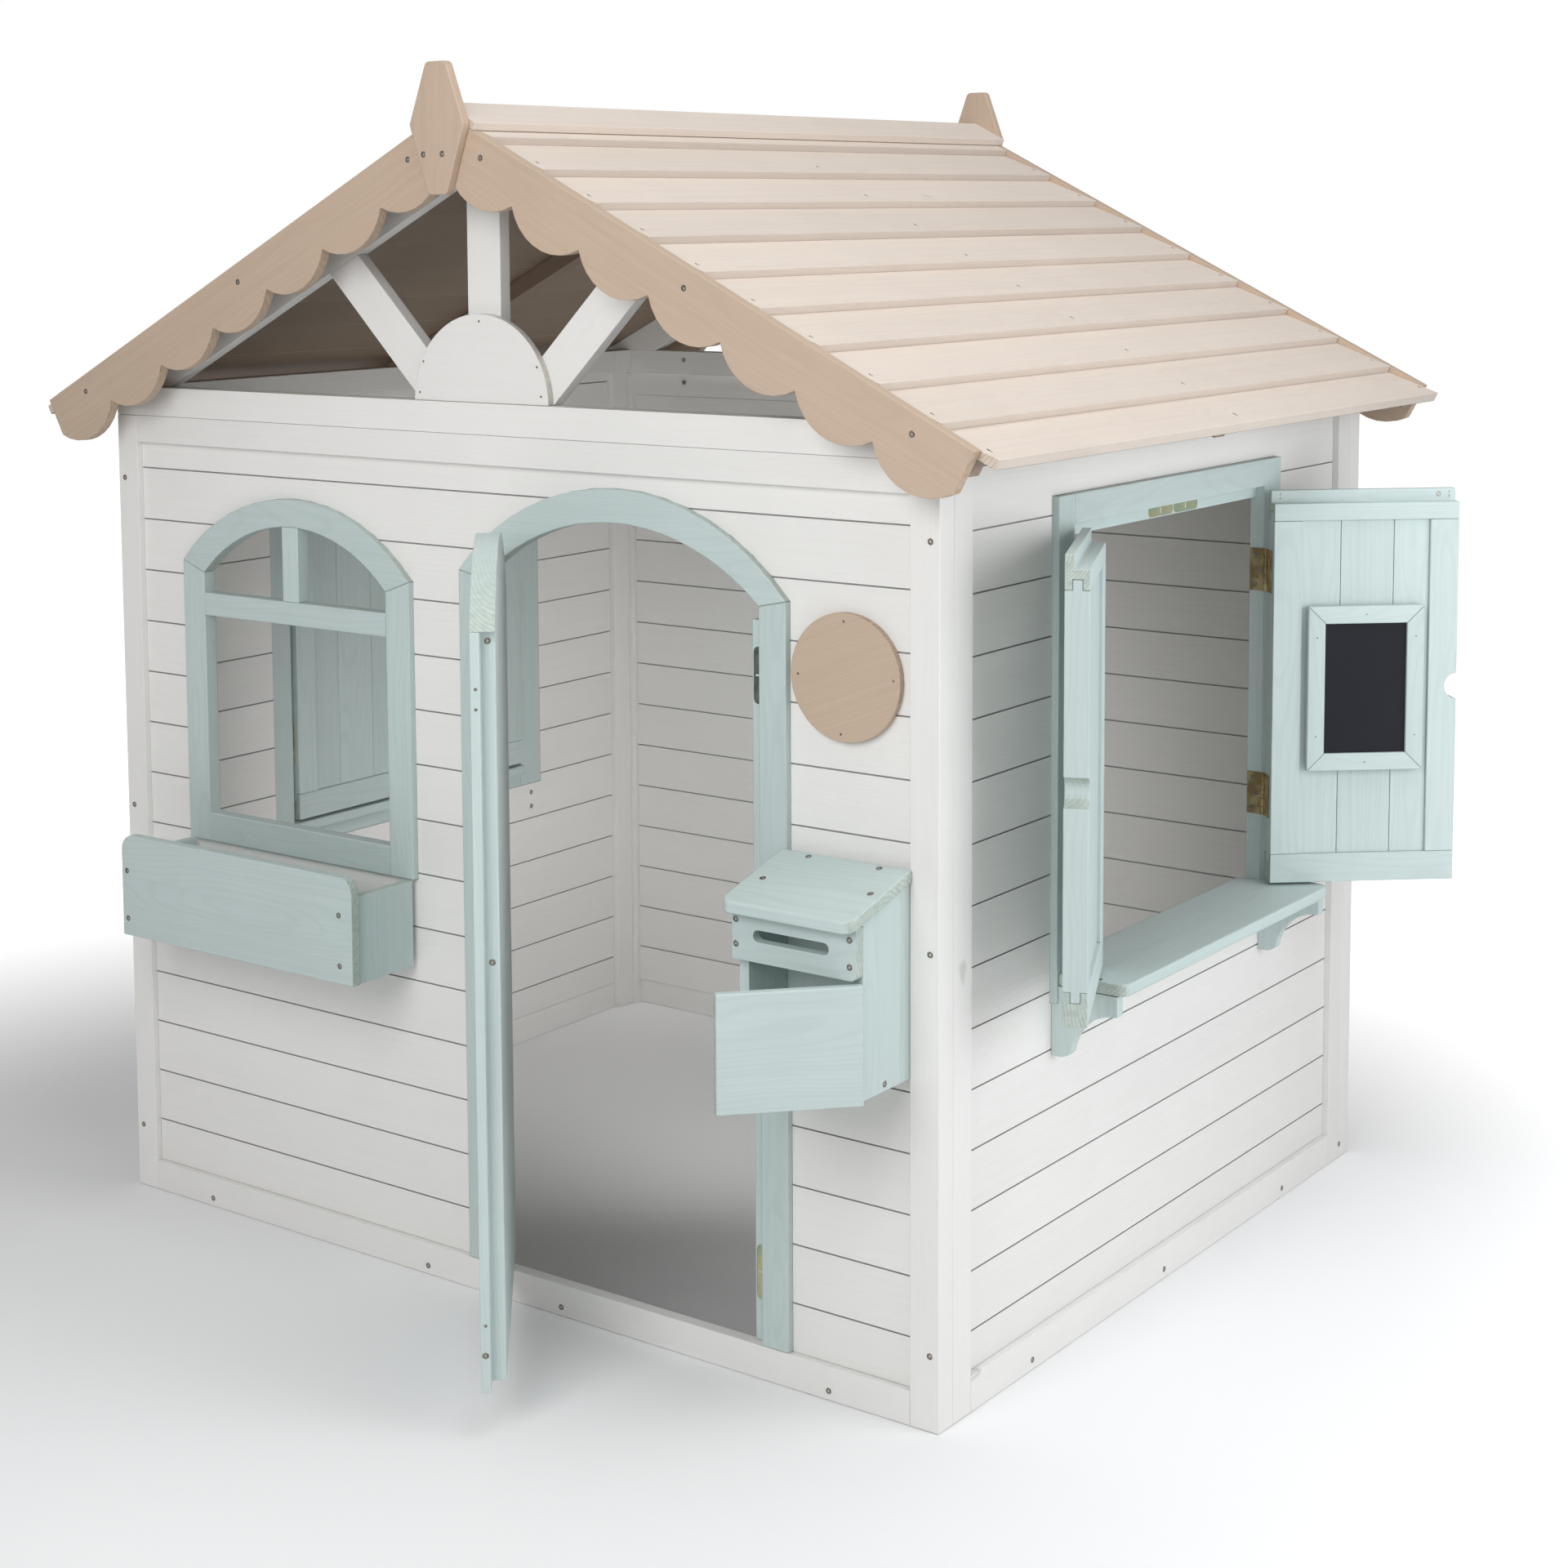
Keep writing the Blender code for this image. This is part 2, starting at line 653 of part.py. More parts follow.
def mailbox():
    side_t = 13.0

    def solid(x, y, z):
        if y > BACK_BOARD_Y:
            return True
        return x < BOX_X[0] + side_t or x > BOX_X[1] - side_t or z < BOX_BOTTOM + 12.0

    box = cells(
        "mailbox_box",
        MINT,
        [BOX_X[0], BOX_X[0] + side_t, BOX_X[1] - side_t, BOX_X[1]],
        [BOX_FRONT, BACK_BOARD_Y, BOARD_FACE - GAP],
        [BOX_BOTTOM, BOX_BOTTOM + 12.0, 650.0],
        solid,
    )
    wedge = [(y, lid_under(y) - GAP) for y in (-130.0, 30.0)] + [(30.0, 700.0), (-130.0, 700.0)]
    return cut(box, [plate_mesh(wedge, "X", 400.0, 660.0)])


mailbox()


def slot_board():
    low, high = 530.7, lid_under(BOX_FRONT - 13.3) - 0.6
    slot = arc((575.6, 560.5), 6.7, -90, 90, 6) + arc((489.1, 560.5), 6.7, 90, 270, 6)
    outline = rectangle(BOX_X[0], BOX_X[1], low, high)
    return plate("mailbox_slot_board", MINT, outline, "Y", BOX_FRONT - 13.3, BOX_FRONT - GAP, holes=[slot])


slot_board()


def mailbox_lid():
    """A tilted board with rounded front corners."""
    left, right, front, r = 447.5, 621.5, -121.4, 14.0
    outline = [(left, -0.6)] + arc((left + r, front + r), r, 180, 270, 5)
    outline += arc((right - r, front + r), r, 270, 360, 5) + [(right, -0.6)]
    bm = plate_mesh(outline, "Z", 0.0, 14.3)
    for vert in bm.verts:
        vert.co.z += lid_under(vert.co.y)
    return add_object("mailbox_lid", bm, MINT)


mailbox_lid()

FLAP_PIVOT = (616.1, BOX_FRONT - 0.2)
plate(
    "mailbox_flap",
    MINT,
    rectangle(BOX_X[0] + 0.5, FLAP_PIVOT[0] - 0.5, 395.0, 527.0),
    "Y",
    BOX_FRONT - 12.3,
    BOX_FRONT - 0.5,
    origin=FLAP_PIVOT,
    turn=FLAP_OPEN,
)

# ----------------------------------------------------------------------------------------------- roof

beam = rectangle(-HALF_W, HALF_W, TOP_RAIL_Z[1] + GAP, BEAM_TOP_Z)
plate("front_gable_beam", WHITE, beam, "Y", 0.0, STILE_D)
plate("back_gable_beam", WHITE, beam, "Y", DEPTH - STILE_D, DEPTH)


def gable_truss(name, low, high):
    """King post, two struts at 45 degrees and a pair of rafters, halved together in one plane."""
    base = BEAM_TOP_Z + GAP
    top, under = 11.9, 57.0
    apex_in = RIDGE_Z - under / ROOF_COS
    post = 26.5
    foot_out = (RIDGE_Z - top / ROOF_COS - base) / PITCH_M
    foot_in = (apex_in - base) / PITCH_M

    def meets(start):
        """Where a strut edge Z = start + |X| reaches the rafter's lower edge."""
        x = (apex_in - start) / (1.0 + PITCH_M)
        return (x, start + x)

    outer_edge, inner_edge = 1012.0, 1087.0
    half = [(foot_out, base), (foot_in, base), meets(outer_edge), (base - outer_edge, base)]
    apex = (0.0, RIDGE_Z - top / ROOF_COS)
    outline = half[:4] + [(-x, z) for x, z in reversed(half)] + [apex]
    hole = [(post, apex_in - PITCH_M * post), meets(inner_edge), (post + 18.0, inner_edge + post + 18.0)]
    hole.append((post, inner_edge + post + 18.0))
    return plate(name, WHITE, outline, "Y", low, high, holes=[hole, mirrored(hole)])


gable_truss("front_gable_truss", 14.0, 32.0)
gable_truss("back_gable_truss", DEPTH - 32.0, DEPTH - 14.0)
plate("sun_disc", WHITE, arc((0.0, BEAM_TOP_Z + GAP), 108.0, 0, 180, 30), "Y", 3.7, 14.0 - GAP)


def roof_boards(name, side):
    """Ten lapped boards: each top face falls towards the board above, whose lower edge stands on it."""
    edges = [64.0 + 77.3 * k for k in range(9)] + [EAVE_X]
    peak, valley, under = 1.5, -8.0, -11.5
    pitch = 77.3 / ROOF_COS
    first = edges[0] / ROOF_COS
    start = peak - (peak - valley) * first / pitch
    points = [down_slope(0.4, start)]
    for k, x in enumerate(edges):
        s = x / ROOF_COS
        points.append(down_slope(s, peak))
        if k < len(edges) - 1:
            points.append(down_slope(s, valley))
    points.append(down_slope(edges[-1] / ROOF_COS, under))
    ridge_in = (0.4, RIDGE_Z - PITCH_M * 0.4 + under / ROOF_COS)
    points.append(ridge_in)
    points[0] = (0.4, points[0][1])
    outline = [(side * x, z) for x, z in points]
    inner = OVERHANG - BARGE_T - GAP
    return plate(name, BEIGE, outline, "Y", -inner, DEPTH + inner)


def ridge_cap(name, side):
    low, high = 0.3, 10.6
    x = 46.5
    drop = x / ROOF_COS
    points = [(0.2, RIDGE_Z + high / ROOF_COS - 0.1), down_slope(drop, high), down_slope(drop, low)]
    points.append((0.2, RIDGE_Z + low / ROOF_COS - 0.1))
    outline = [(side * u, v) for u, v in points]
    return plate(name, BEIGE, outline, "Y", -OVERHANG, DEPTH + OVERHANG)


def bargeboard(name, side, low, high):
    """Seven scallops hang under a straight top edge, between cusps 100 mm apart on plan."""
    cusp, lobe = 53.0, 80.0
    cusps = [slope(5.0 + 100.0 * k, cusp) for k in range(8)]
    chord = 100.0 / ROOF_COS
    sag = lobe - cusp
    radius = (chord * chord / 4 + sag * sag) / (2 * sag)
    reach = math.degrees(math.asin(chord / 2 / radius))
    fall = math.degrees(math.atan(PITCH_M))
    points = [(0.15, RIDGE_Z), slope(731.0)]
    for k in range(7, 0, -1):
        a, b = cusps[k], cusps[k - 1]
        mid = ((a[0] + b[0]) / 2, (a[1] + b[1]) / 2)
        up = radius - sag
        centre = (mid[0] + up * ROOF_SIN, mid[1] + up * ROOF_COS)
        lobe_points = arc(centre, radius, -90 - fall + reach, -90 - fall - reach, 9)
        points += [a] + lobe_points[1:-1]
    points += [cusps[0], (0.15, cusps[0][1] + 2.4)]
    outline = [(side * x, z) for x, z in points]
    return plate(name, TAUPE, outline, "Y", low, high)


def finial(name, low, high):
    """A shield-shaped board over the joint of two bargeboards."""
    right = arc((10.5, 1519.5), 7.5, 90, 10, 4) + [(43.0, 1453.0)]
    right += arc((10.0, 1377.0), 7.0, -5, -90, 3)
    outline = right + [(-x, z) for x, z in reversed(right)]
    return plate(name, TAUPE, outline, "Y", low, high)


def rafter_pair(name, low, high):
    """Two battens under the roof boards, meeting at the ridge."""
    top, under = 11.9, 36.0
    tip = 727.0
    s = tip / ROOF_COS
    right = [down_slope(s, -top), down_slope(s, -under)]
    outline = [(0.0, RIDGE_Z - top / ROOF_COS)] + right + [(0.0, RIDGE_Z - under / ROOF_COS)]
    outline += [(-x, z) for x, z in reversed(right)]
    return plate(name, BEIGE, outline, "Y", low, high)


for prefix, side in (("right", 1), ("left", -1)):
    roof_boards(f"roof_boards_{prefix}", side)
    ridge_cap(f"ridge_cap_{prefix}", side)
    bargeboard(f"bargeboard_front_{prefix}", side, -OVERHANG, -OVERHANG + BARGE_T)
    bargeboard(f"bargeboard_back_{prefix}", side, DEPTH + OVERHANG - BARGE_T, DEPTH + OVERHANG)

finial("finial_front", -OVERHANG - GAP - 12.0, -OVERHANG - GAP)
finial("finial_back", DEPTH + OVERHANG + GAP, DEPTH + OVERHANG + GAP + 12.0)
INNER = OVERHANG - BARGE_T - GAP
rafter_pair("roof_rafters_front", -INNER, -INNER + 28.0)
rafter_pair("roof_rafters_middle", DEPTH / 2 - 14.0, DEPTH / 2 + 14.0)
rafter_pair("roof_rafters_back", DEPTH + INNER - 28.0, DEPTH + INNER)
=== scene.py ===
"""Looks of the timber playhouse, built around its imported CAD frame.

Lengths in the tables are millimetres: X from the middle, Y from the front wall's face, Z from the ground."""

import math
import random

import bmesh
import bpy
from mathutils import Matrix, Vector, geometry


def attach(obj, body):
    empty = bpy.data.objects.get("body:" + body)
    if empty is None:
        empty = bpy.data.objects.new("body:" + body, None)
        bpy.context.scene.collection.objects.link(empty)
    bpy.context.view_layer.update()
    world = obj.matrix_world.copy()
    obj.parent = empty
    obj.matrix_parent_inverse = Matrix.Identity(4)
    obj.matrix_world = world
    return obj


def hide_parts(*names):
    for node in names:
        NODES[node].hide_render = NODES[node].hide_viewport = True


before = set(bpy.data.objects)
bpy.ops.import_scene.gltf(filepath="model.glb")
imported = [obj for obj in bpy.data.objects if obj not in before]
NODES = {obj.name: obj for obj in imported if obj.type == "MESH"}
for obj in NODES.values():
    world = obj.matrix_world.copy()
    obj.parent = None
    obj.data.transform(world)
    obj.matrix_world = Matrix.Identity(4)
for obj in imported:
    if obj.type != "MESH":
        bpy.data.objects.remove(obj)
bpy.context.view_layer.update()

ORIGIN_DEPTH = 10.0  # the frame's origin is this far behind the front wall's face
HALF_W = 655.5
DEPTH = 1107.0
PITCH = 0.504
RIDGE_Z = 1468.0
ROOF_COS = 1.0 / math.hypot(1.0, PITCH)
ROOF_SIN = PITCH * ROOF_COS
OVERHANG = 54.6
BOARD_PITCH = 70.0
OPENING_Y = (296.0, 803.0)  # near and far edges of the side windows' openings
PIVOT_OUT, PIVOT_IN = 3.8, 2.1  # a hinge's axis: out of the frame's face, and inside the opening's edge
LAP_START, LAP_STEP = 64.0, 77.3  # first lap of the roof boards from the ridge, and the distance to the next
RING_PITCH = 0.0042  # between growth rings, in metres

# Pivot on plan and the angle at which each leaf stands open at rest
LEAVES = {
    "house": ((0.0, 0.0), 0.0),
    "leaf_door": ((2.4, -3.8), -50.7),
    "leaf_right_shutter_near": ((659.3, 298.1), -155.5),
    "leaf_right_shutter_far": ((659.3, 800.9), 131.0),
    "leaf_left_shutter_near": ((-659.3, 298.1), 0.0),
    "leaf_left_shutter_far": ((-659.3, 800.9), 0.0),
    "leaf_mailbox_flap": ((616.1, -92.2), 47.0),
}


def opened(body):
    """Takes a leaf's closed place in millimetres to its open place in the frame, in metres."""
    (px, py), turn = LEAVES[body]
    spin = Matrix.Rotation(math.radians(turn), 4, "Z")
    about = Matrix.Translation((px, py, 0.0)) @ spin @ Matrix.Translation((-px, -py, 0.0))
    return Matrix.Diagonal((0.001, 0.001, 0.001, 1.0)) @ Matrix.Translation((0.0, -ORIGIN_DEPTH, 0.0)) @ about


# ------------------------------------------------------------------------------------- materials


def new_material(name):
    material = bpy.data.materials.new(name + "_look")
    material["slot"] = name
    material.use_nodes = True
    tree = material.node_tree
    return material, tree, tree.nodes["Principled BSDF"]


def node(tree, kind, **values):
    made = tree.nodes.new(kind)
    for key, value in values.items():
        if hasattr(made, key):
            setattr(made, key, value)
        else:
            made.inputs[key.replace("_", " ")].default_value = value
    return made


def maths(tree, operation, a, b=None, c=None):
    made = tree.nodes.new("ShaderNodeMath")
    made.operation = operation
    for slot, value in zip(made.inputs, (a, b, c)):
        if value is None:
            continue
        if isinstance(value, (int, float)):
            slot.default_value = value
        else:
            tree.links.new(value, slot)
    return made.outputs[0]


def mixed(tree, factor, a, b):
    made = tree.nodes.new("ShaderNodeMix")
    made.data_type = "RGBA"
    for slot, value in ((made.inputs[0], factor), (made.inputs[6], a), (made.inputs[7], b)):
        if isinstance(value, (int, float)):
            slot.default_value = value
        elif isinstance(value, tuple):
            slot.default_value = (*value, 1.0)
        else:
            tree.links.new(value, slot)
    return made.outputs[2]


def stretched(tree, source, scale):
    made = tree.nodes.new("ShaderNodeMapping")
    made.inputs["Scale"].default_value = scale
    tree.links.new(source, made.inputs["Vector"])
    return made.outputs[0]


def noise(tree, vector, scale, detail=3.0, roughness=0.5):
    made = node(tree, "ShaderNodeTexNoise", Scale=scale, Detail=detail, Roughness=roughness)
    tree.links.new(vector, made.inputs["Vector"])
    return made.outputs["Fac"]


def ramp(tree, factor, low, high):
    made = tree.nodes.new("ShaderNodeMapRange")
    made.interpolation_type = "SMOOTHSTEP"
    made.inputs["From Min"].default_value = low
    made.inputs["From Max"].default_value = high
    tree.links.new(factor, made.inputs["Value"])
    return made.outputs[0]


def timber_material(name, base, grain, knot, end, amounts):
    """Thinly painted softwood: growth rings about a pith, fibres along the grain, knots and cloudy paint.

    amounts holds the strengths of the ring lines, streaks, knots, board to board tone and paint clouds."""
    rings_by, streaks_by, knots_by, tone_by, clouds_by = amounts
    material, tree, shader = new_material(name)
    wood = node(tree, "ShaderNodeAttribute", attribute_name="wood").outputs["Vector"]
    tone = node(tree, "ShaderNodeAttribute", attribute_name="tone").outputs["Fac"]
    ends = node(tree, "ShaderNodeAttribute", attribute_name="end_face").outputs["Fac"]
    dim = node(tree, "ShaderNodeAttribute", attribute_name="dim").outputs["Fac"]

    bend = noise(tree, stretched(tree, wood, (2.2, 9.0, 9.0)), 1.0, 2.0)
    parts = node(tree, "ShaderNodeSeparateXYZ")
    tree.links.new(wood, parts.inputs[0])
    squares = [maths(tree, "POWER", parts.outputs[i], 2.0) for i in (1, 2)]
    radius = maths(tree, "SQRT", maths(tree, "ADD", *squares))
    radius = maths(tree, "MULTIPLY_ADD", bend, 0.05, radius)
    wave = maths(tree, "SINE", maths(tree, "MULTIPLY", radius, 2.0 * math.pi / RING_PITCH))
    late = ramp(tree, wave, 0.25, 1.0)
    streak = ramp(tree, noise(tree, stretched(tree, wood, (2.6, 130.0, 130.0)), 1.0, 4.0, 0.6), 0.35, 0.7)
    fibre = noise(tree, stretched(tree, wood, (24.0, 900.0, 900.0)), 1.0, 2.0)
    cloud = noise(tree, wood, 11.0, 4.0, 0.6)

    cells = tree.nodes.new("ShaderNodeTexVoronoi")
    cells.inputs["Scale"].default_value = 1.0
    cells.inputs["Randomness"].default_value = 0.9
    wobble = noise(tree, wood, 60.0, 2.0)
    shifted = tree.nodes.new("ShaderNodeVectorMath")
    shifted.operation = "ADD"
    flat = stretched(tree, wood, (4.2, 8.5, 0.6))
    tree.links.new(flat, shifted.inputs[0])
    push = tree.nodes.new("ShaderNodeCombineXYZ")
    for slot in push.inputs[:2]:
        tree.links.new(maths(tree, "MULTIPLY", maths(tree, "SUBTRACT", wobble, 0.5), 0.09), slot)
    tree.links.new(push.outputs[0], shifted.inputs[1])
    tree.links.new(shifted.outputs[0], cells.inputs["Vector"])
    some = node(tree, "ShaderNodeSeparateColor")
    tree.links.new(cells.outputs["Color"], some.inputs[0])
    chosen = maths(tree, "GREATER_THAN", some.outputs[0], 0.66)
    away = cells.outputs["Distance"]
    rim_end = maths(tree, "SUBTRACT", 1.0, ramp(tree, away, 0.06, 0.10))
    knot_rim = maths(tree, "MULTIPLY", ramp(tree, away, 0.03, 0.055), rim_end)
    knot_core = maths(tree, "MULTIPLY", maths(tree, "SUBTRACT", 1.0, ramp(tree, away, 0.015, 0.06)), 0.45)
    knot_mask = maths(tree, "MULTIPLY", maths(tree, "MAXIMUM", knot_rim, knot_core), chosen)
    knot_mask = maths(tree, "MULTIPLY", knot_mask, maths(tree, "SUBTRACT", 1.0, ends))

    side_rings = maths(tree, "MULTIPLY", late, rings_by)
    colour = mixed(tree, side_rings, base, grain)
    colour = mixed(tree, maths(tree, "MULTIPLY", streak, streaks_by), colour, grain)
    colour = mixed(tree, maths(tree, "MULTIPLY", knot_mask, knots_by), colour, knot)
    raw = ramp(tree, noise(tree, wood, 140.0, 3.0, 0.6), 0.35, 0.75)
    end_colour = mixed(tree, maths(tree, "MULTIPLY", raw, 0.5), end, knot)
    end_colour = mixed(tree, maths(tree, "MULTIPLY", late, 0.5), end_colour, tuple(v * 0.6 for v in end))
    colour = mixed(tree, ends, colour, end_colour)
    value = maths(tree, "MULTIPLY_ADD", maths(tree, "SUBTRACT", tone, 0.5), tone_by, 1.0)
    value = maths(tree, "ADD", value, maths(tree, "MULTIPLY", maths(tree, "SUBTRACT", cloud, 0.5), clouds_by))
    # Painted shade: faces marked by dressed(), the board grooves and lap butts, are drawn darker.
    value = maths(tree, "SUBTRACT", value, dim)
    shade = node(tree, "ShaderNodeHueSaturation")
    tree.links.new(colour, shade.inputs["Color"])
    tree.links.new(value, shade.inputs["Value"])
    tree.links.new(shade.outputs[0], shader.inputs["Base Color"])

    rough = maths(tree, "MULTIPLY_ADD", cloud, 0.18, 0.47)
    tree.links.new(rough, shader.inputs["Roughness"])
    height = maths(tree, "ADD", maths(tree, "MULTIPLY", late, 0.35), maths(tree, "MULTIPLY", fibre, 0.5))
    height = maths(tree, "ADD", height, maths(tree, "MULTIPLY", streak, 0.3))
    height = maths(tree, "SUBTRACT", height, maths(tree, "MULTIPLY", knot_mask, 0.5))
    bump = node(tree, "ShaderNodeBump", Strength=0.35, Distance=0.0004)
    tree.links.new(height, bump.inputs["Height"])
    tree.links.new(bump.outputs[0], shader.inputs["Normal"])
    return material


def metal_material(name, base, stain, roughness, scale):
    """Plated steel, clouded by its passivation colours and fine scratches."""
    material, tree, shader = new_material(name)
    place = node(tree, "ShaderNodeTexCoord").outputs["Object"]
    cloud = ramp(tree, noise(tree, place, scale, 3.0), 0.38, 0.62)
    scratch = noise(tree, stretched(tree, place, (300.0, 300.0, 2500.0)), 1.0, 2.0)
    colour = mixed(tree, cloud, base, stain)
    tree.links.new(colour, shader.inputs["Base Color"])
    shader.inputs["Metallic"].default_value = 0.9
    tree.links.new(maths(tree, "MULTIPLY_ADD", scratch, 0.2, roughness), shader.inputs["Roughness"])
    bump = node(tree, "ShaderNodeBump", Strength=0.3, Distance=0.0001)
    tree.links.new(scratch, bump.inputs["Height"])
    tree.links.new(bump.outputs[0], shader.inputs["Normal"])
    return material


def slate_material():
    """Blackboard paint with faint wiped chalk haze."""
    material, tree, shader = new_material("slate")
    place = node(tree, "ShaderNodeTexCoord").outputs["Object"]
    haze = ramp(tree, noise(tree, stretched(tree, place, (1.0, 1.0, 0.35)), 26.0, 4.0, 0.6), 0.4, 0.8)
    grit = noise(tree, place, 1600.0, 2.0)
    shader.inputs["Specular IOR Level"].default_value = 0.2
    colour = mixed(tree, maths(tree, "MULTIPLY", haze, 0.35), (0.0105, 0.011, 0.016), (0.024, 0.025, 0.032))
    tree.links.new(colour, shader.inputs["Base Color"])
    tree.links.new(maths(tree, "MULTIPLY_ADD", haze, 0.12, 0.6), shader.inputs["Roughness"])
    bump = node(tree, "ShaderNodeBump", Strength=0.25, Distance=0.0001)
    tree.links.new(grit, bump.inputs["Height"])
    tree.links.new(bump.outputs[0], shader.inputs["Normal"])
    return material


WHITE = timber_material(
    "white_timber",
    base=(0.80, 0.79, 0.77),
    grain=(0.68, 0.655, 0.62),
    knot=(0.47, 0.44, 0.41),
    end=(0.74, 0.715, 0.66),
    amounts=(0.05, 0.07, 0.5, 0.035, 0.05),
)
MINT = timber_material(
    "mint_timber",
    base=(0.52, 0.61, 0.60),
    grain=(0.41, 0.50, 0.48),
    knot=(0.27, 0.33, 0.31),
    end=(0.47, 0.54, 0.49),
    amounts=(0.20, 0.22, 0.4, 0.06, 0.08),
)
TAUPE = timber_material(
    "taupe_timber",
    base=(0.53, 0.41, 0.31),
    grain=(0.42, 0.30, 0.21),
    knot=(0.26, 0.18, 0.12),
    end=(0.56, 0.42, 0.31),
    amounts=(0.10, 0.22, 0.25, 0.03, 0.08),
)
BEIGE = timber_material(
    "beige_timber",
    base=(0.76, 0.675, 0.60),
    grain=(0.66, 0.54, 0.45),
    knot=(0.47, 0.37, 0.30),
    end=(0.66, 0.55, 0.47),
    amounts=(0.14, 0.20, 0.5, 0.06, 0.07),
)
# Under the roof: a darker, browner copy of the beige roof timber, partly the underside's own browner colour and
# partly painted shade for the dim space under the roof.
SHADED_UNDERSIDE = timber_material(
    "roof_underside",
    base=(0.28, 0.205, 0.148),
    grain=(0.24, 0.17, 0.12),
    knot=(0.15, 0.105, 0.075),
    end=(0.38, 0.29, 0.22),
    amounts=(0.18, 0.30, 0.5, 0.14, 0.10),
)
BRASS = metal_material("hinge_brass", (0.50, 0.40, 0.22), (0.30, 0.22, 0.11), 0.36, 60.0)
ZINC = metal_material("catch_zinc", (0.58, 0.52, 0.30), (0.42, 0.50, 0.36), 0.26, 45.0)
STEEL = metal_material("screw_steel", (0.36, 0.33, 0.29), (0.16, 0.14, 0.12), 0.30, 500.0)
DARK_STEEL = metal_material("catch_steel", (0.13, 0.14, 0.115), (0.23, 0.25, 0.21), 0.30, 45.0)
BRIGHT_STEEL = metal_material("bright_steel", (0.64, 0.58, 0.53), (0.42, 0.38, 0.34), 0.24, 300.0)
SLATE = slate_material()

# --------------------------------------------------------------------------------------- shapes


def placed(axis, pair, along):
    """A point of an outline: (Y, Z) along X, (X, Z) along Y, or (X, Y) along Z."""
    if axis == "X":
        return (along, pair[0], pair[1])
    if axis == "Y":
        return (pair[0], along, pair[1])
    return (pair[0], pair[1], along)


def prism(outline, axis, low, high, holes=()):
    bm = bmesh.new()
    loops = [list(outline)] + [list(hole) for hole in holes]
    ends = []
    for along in (low, high):
        ends.append([[bm.verts.new(placed(axis, p, along)) for p in loop] for loop in loops])
    for lower, upper in zip(*ends):
        for i in range(len(lower)):
            j = (i + 1) % len(lower)
            bm.faces.new((lower[i], lower[j], upper[j], upper[i]))
    for end in ends:
        if not holes:
            bm.faces.new(end[0])
            continue
        verts = [v for loop in end for v in loop]
        for tri in geometry.tessellate_polygon([[(*p, 0.0) for p in loop] for loop in loops]):
            bm.faces.new([verts[i] for i in tri])
    bmesh.ops.recalc_face_normals(bm, faces=bm.faces)
    return bm


def box(x0, x1, y0, y1, z0, z1):
    return prism([(x0, z0), (x1, z0), (x1, z1), (x0, z1)], "Y", y0, y1)


def arc(centre, radius, start, stop, steps):
    points = []
    for i in range(steps + 1):
        angle = math.radians(start + (stop - start) * i / steps)
        points.append((centre[0] + radius * math.cos(angle), centre[1] + radius * math.sin(angle)))
    return points


def slope(x, below=0.0):
    """A point of a roof slope at |X| = x, at a distance under the bargeboards' top plane."""
    return (x, RIDGE_Z - PITCH * x - below / ROOF_COS)


def cleaned(bm):
    """Welds doubled corners and dissolves the edges inside flat faces."""
    bmesh.ops.remove_doubles(bm, verts=bm.verts, dist=0.002)
    flat = dict(angle_limit=0.003, use_dissolve_boundaries=False, delimit=set())
    bmesh.ops.dissolve_limit(bm, verts=bm.verts, edges=bm.edges, **flat)
    return bm


def cad_member(name, body):
    """A CAD node's solid in millimetres, as it lies when its leaf is closed."""
    bm = bmesh.new()
    bm.from_mesh(NODES[name].data)
    bm.transform(opened(body).inverted())
    return cleaned(bm)


def loose_parts(bm):
    """Separates a mesh into its unconnected solids."""
    left = set(bm.verts)
    islands = []
    while left:
        stack = [left.pop()]
        island = set(stack)
        while stack:
            for edge in stack.pop().link_edges:
                for vert in edge.verts:
                    if vert in left:
                        left.discard(vert)
                        island.add(vert)
                        stack.append(vert)
        islands.append(sorted(v.index for v in island))
    if len(islands) == 1:
        return [bm]
    parts = []
    for island in sorted(islands):
        keep = set(island)
        part = bm.copy()
        part.verts.ensure_lookup_table()
        bmesh.ops.delete(part, geom=[v for v in part.verts if v.index not in keep], context="VERTS")
        parts.append(part)
    bm.free()
    return parts


def middle(bm):
    low = Vector([min(v.co[i] for v in bm.verts) for i in range(3)])
    high = Vector([max(v.co[i] for v in bm.verts) for i in range(3)])
    return (low + high) / 2.0, high - low


def parted(members, cuts, gap=0.12):
    """Cuts each member at each plane (point, normal, test of the member's middle), and closes both sides."""
    for point, normal, test in cuts:
        result = []
        for bm in members:
            if test is not None and not test(middle(bm)[0]):
                result.append(bm)
                continue
            for way in (1, -1):
                half = bm.copy()
                n = Vector(normal).normalized() * way
                co = Vector(point) + n * gap / 2
                geom = half.verts[:] + half.edges[:] + half.faces[:]
                plane = dict(plane_co=co, plane_no=n, clear_inner=True)
                bmesh.ops.bisect_plane(half, geom=geom, dist=0.0005, **plane)
                if not half.faces:
                    half.free()
                    continue
                rim = [e for e in half.edges if len(e.link_faces) == 1]
                if rim:
                    bmesh.ops.holes_fill(half, edges=rim, sides=0)
                half.verts.index_update()
                result += loose_parts(half)
            bm.free()
        members = result
    return members


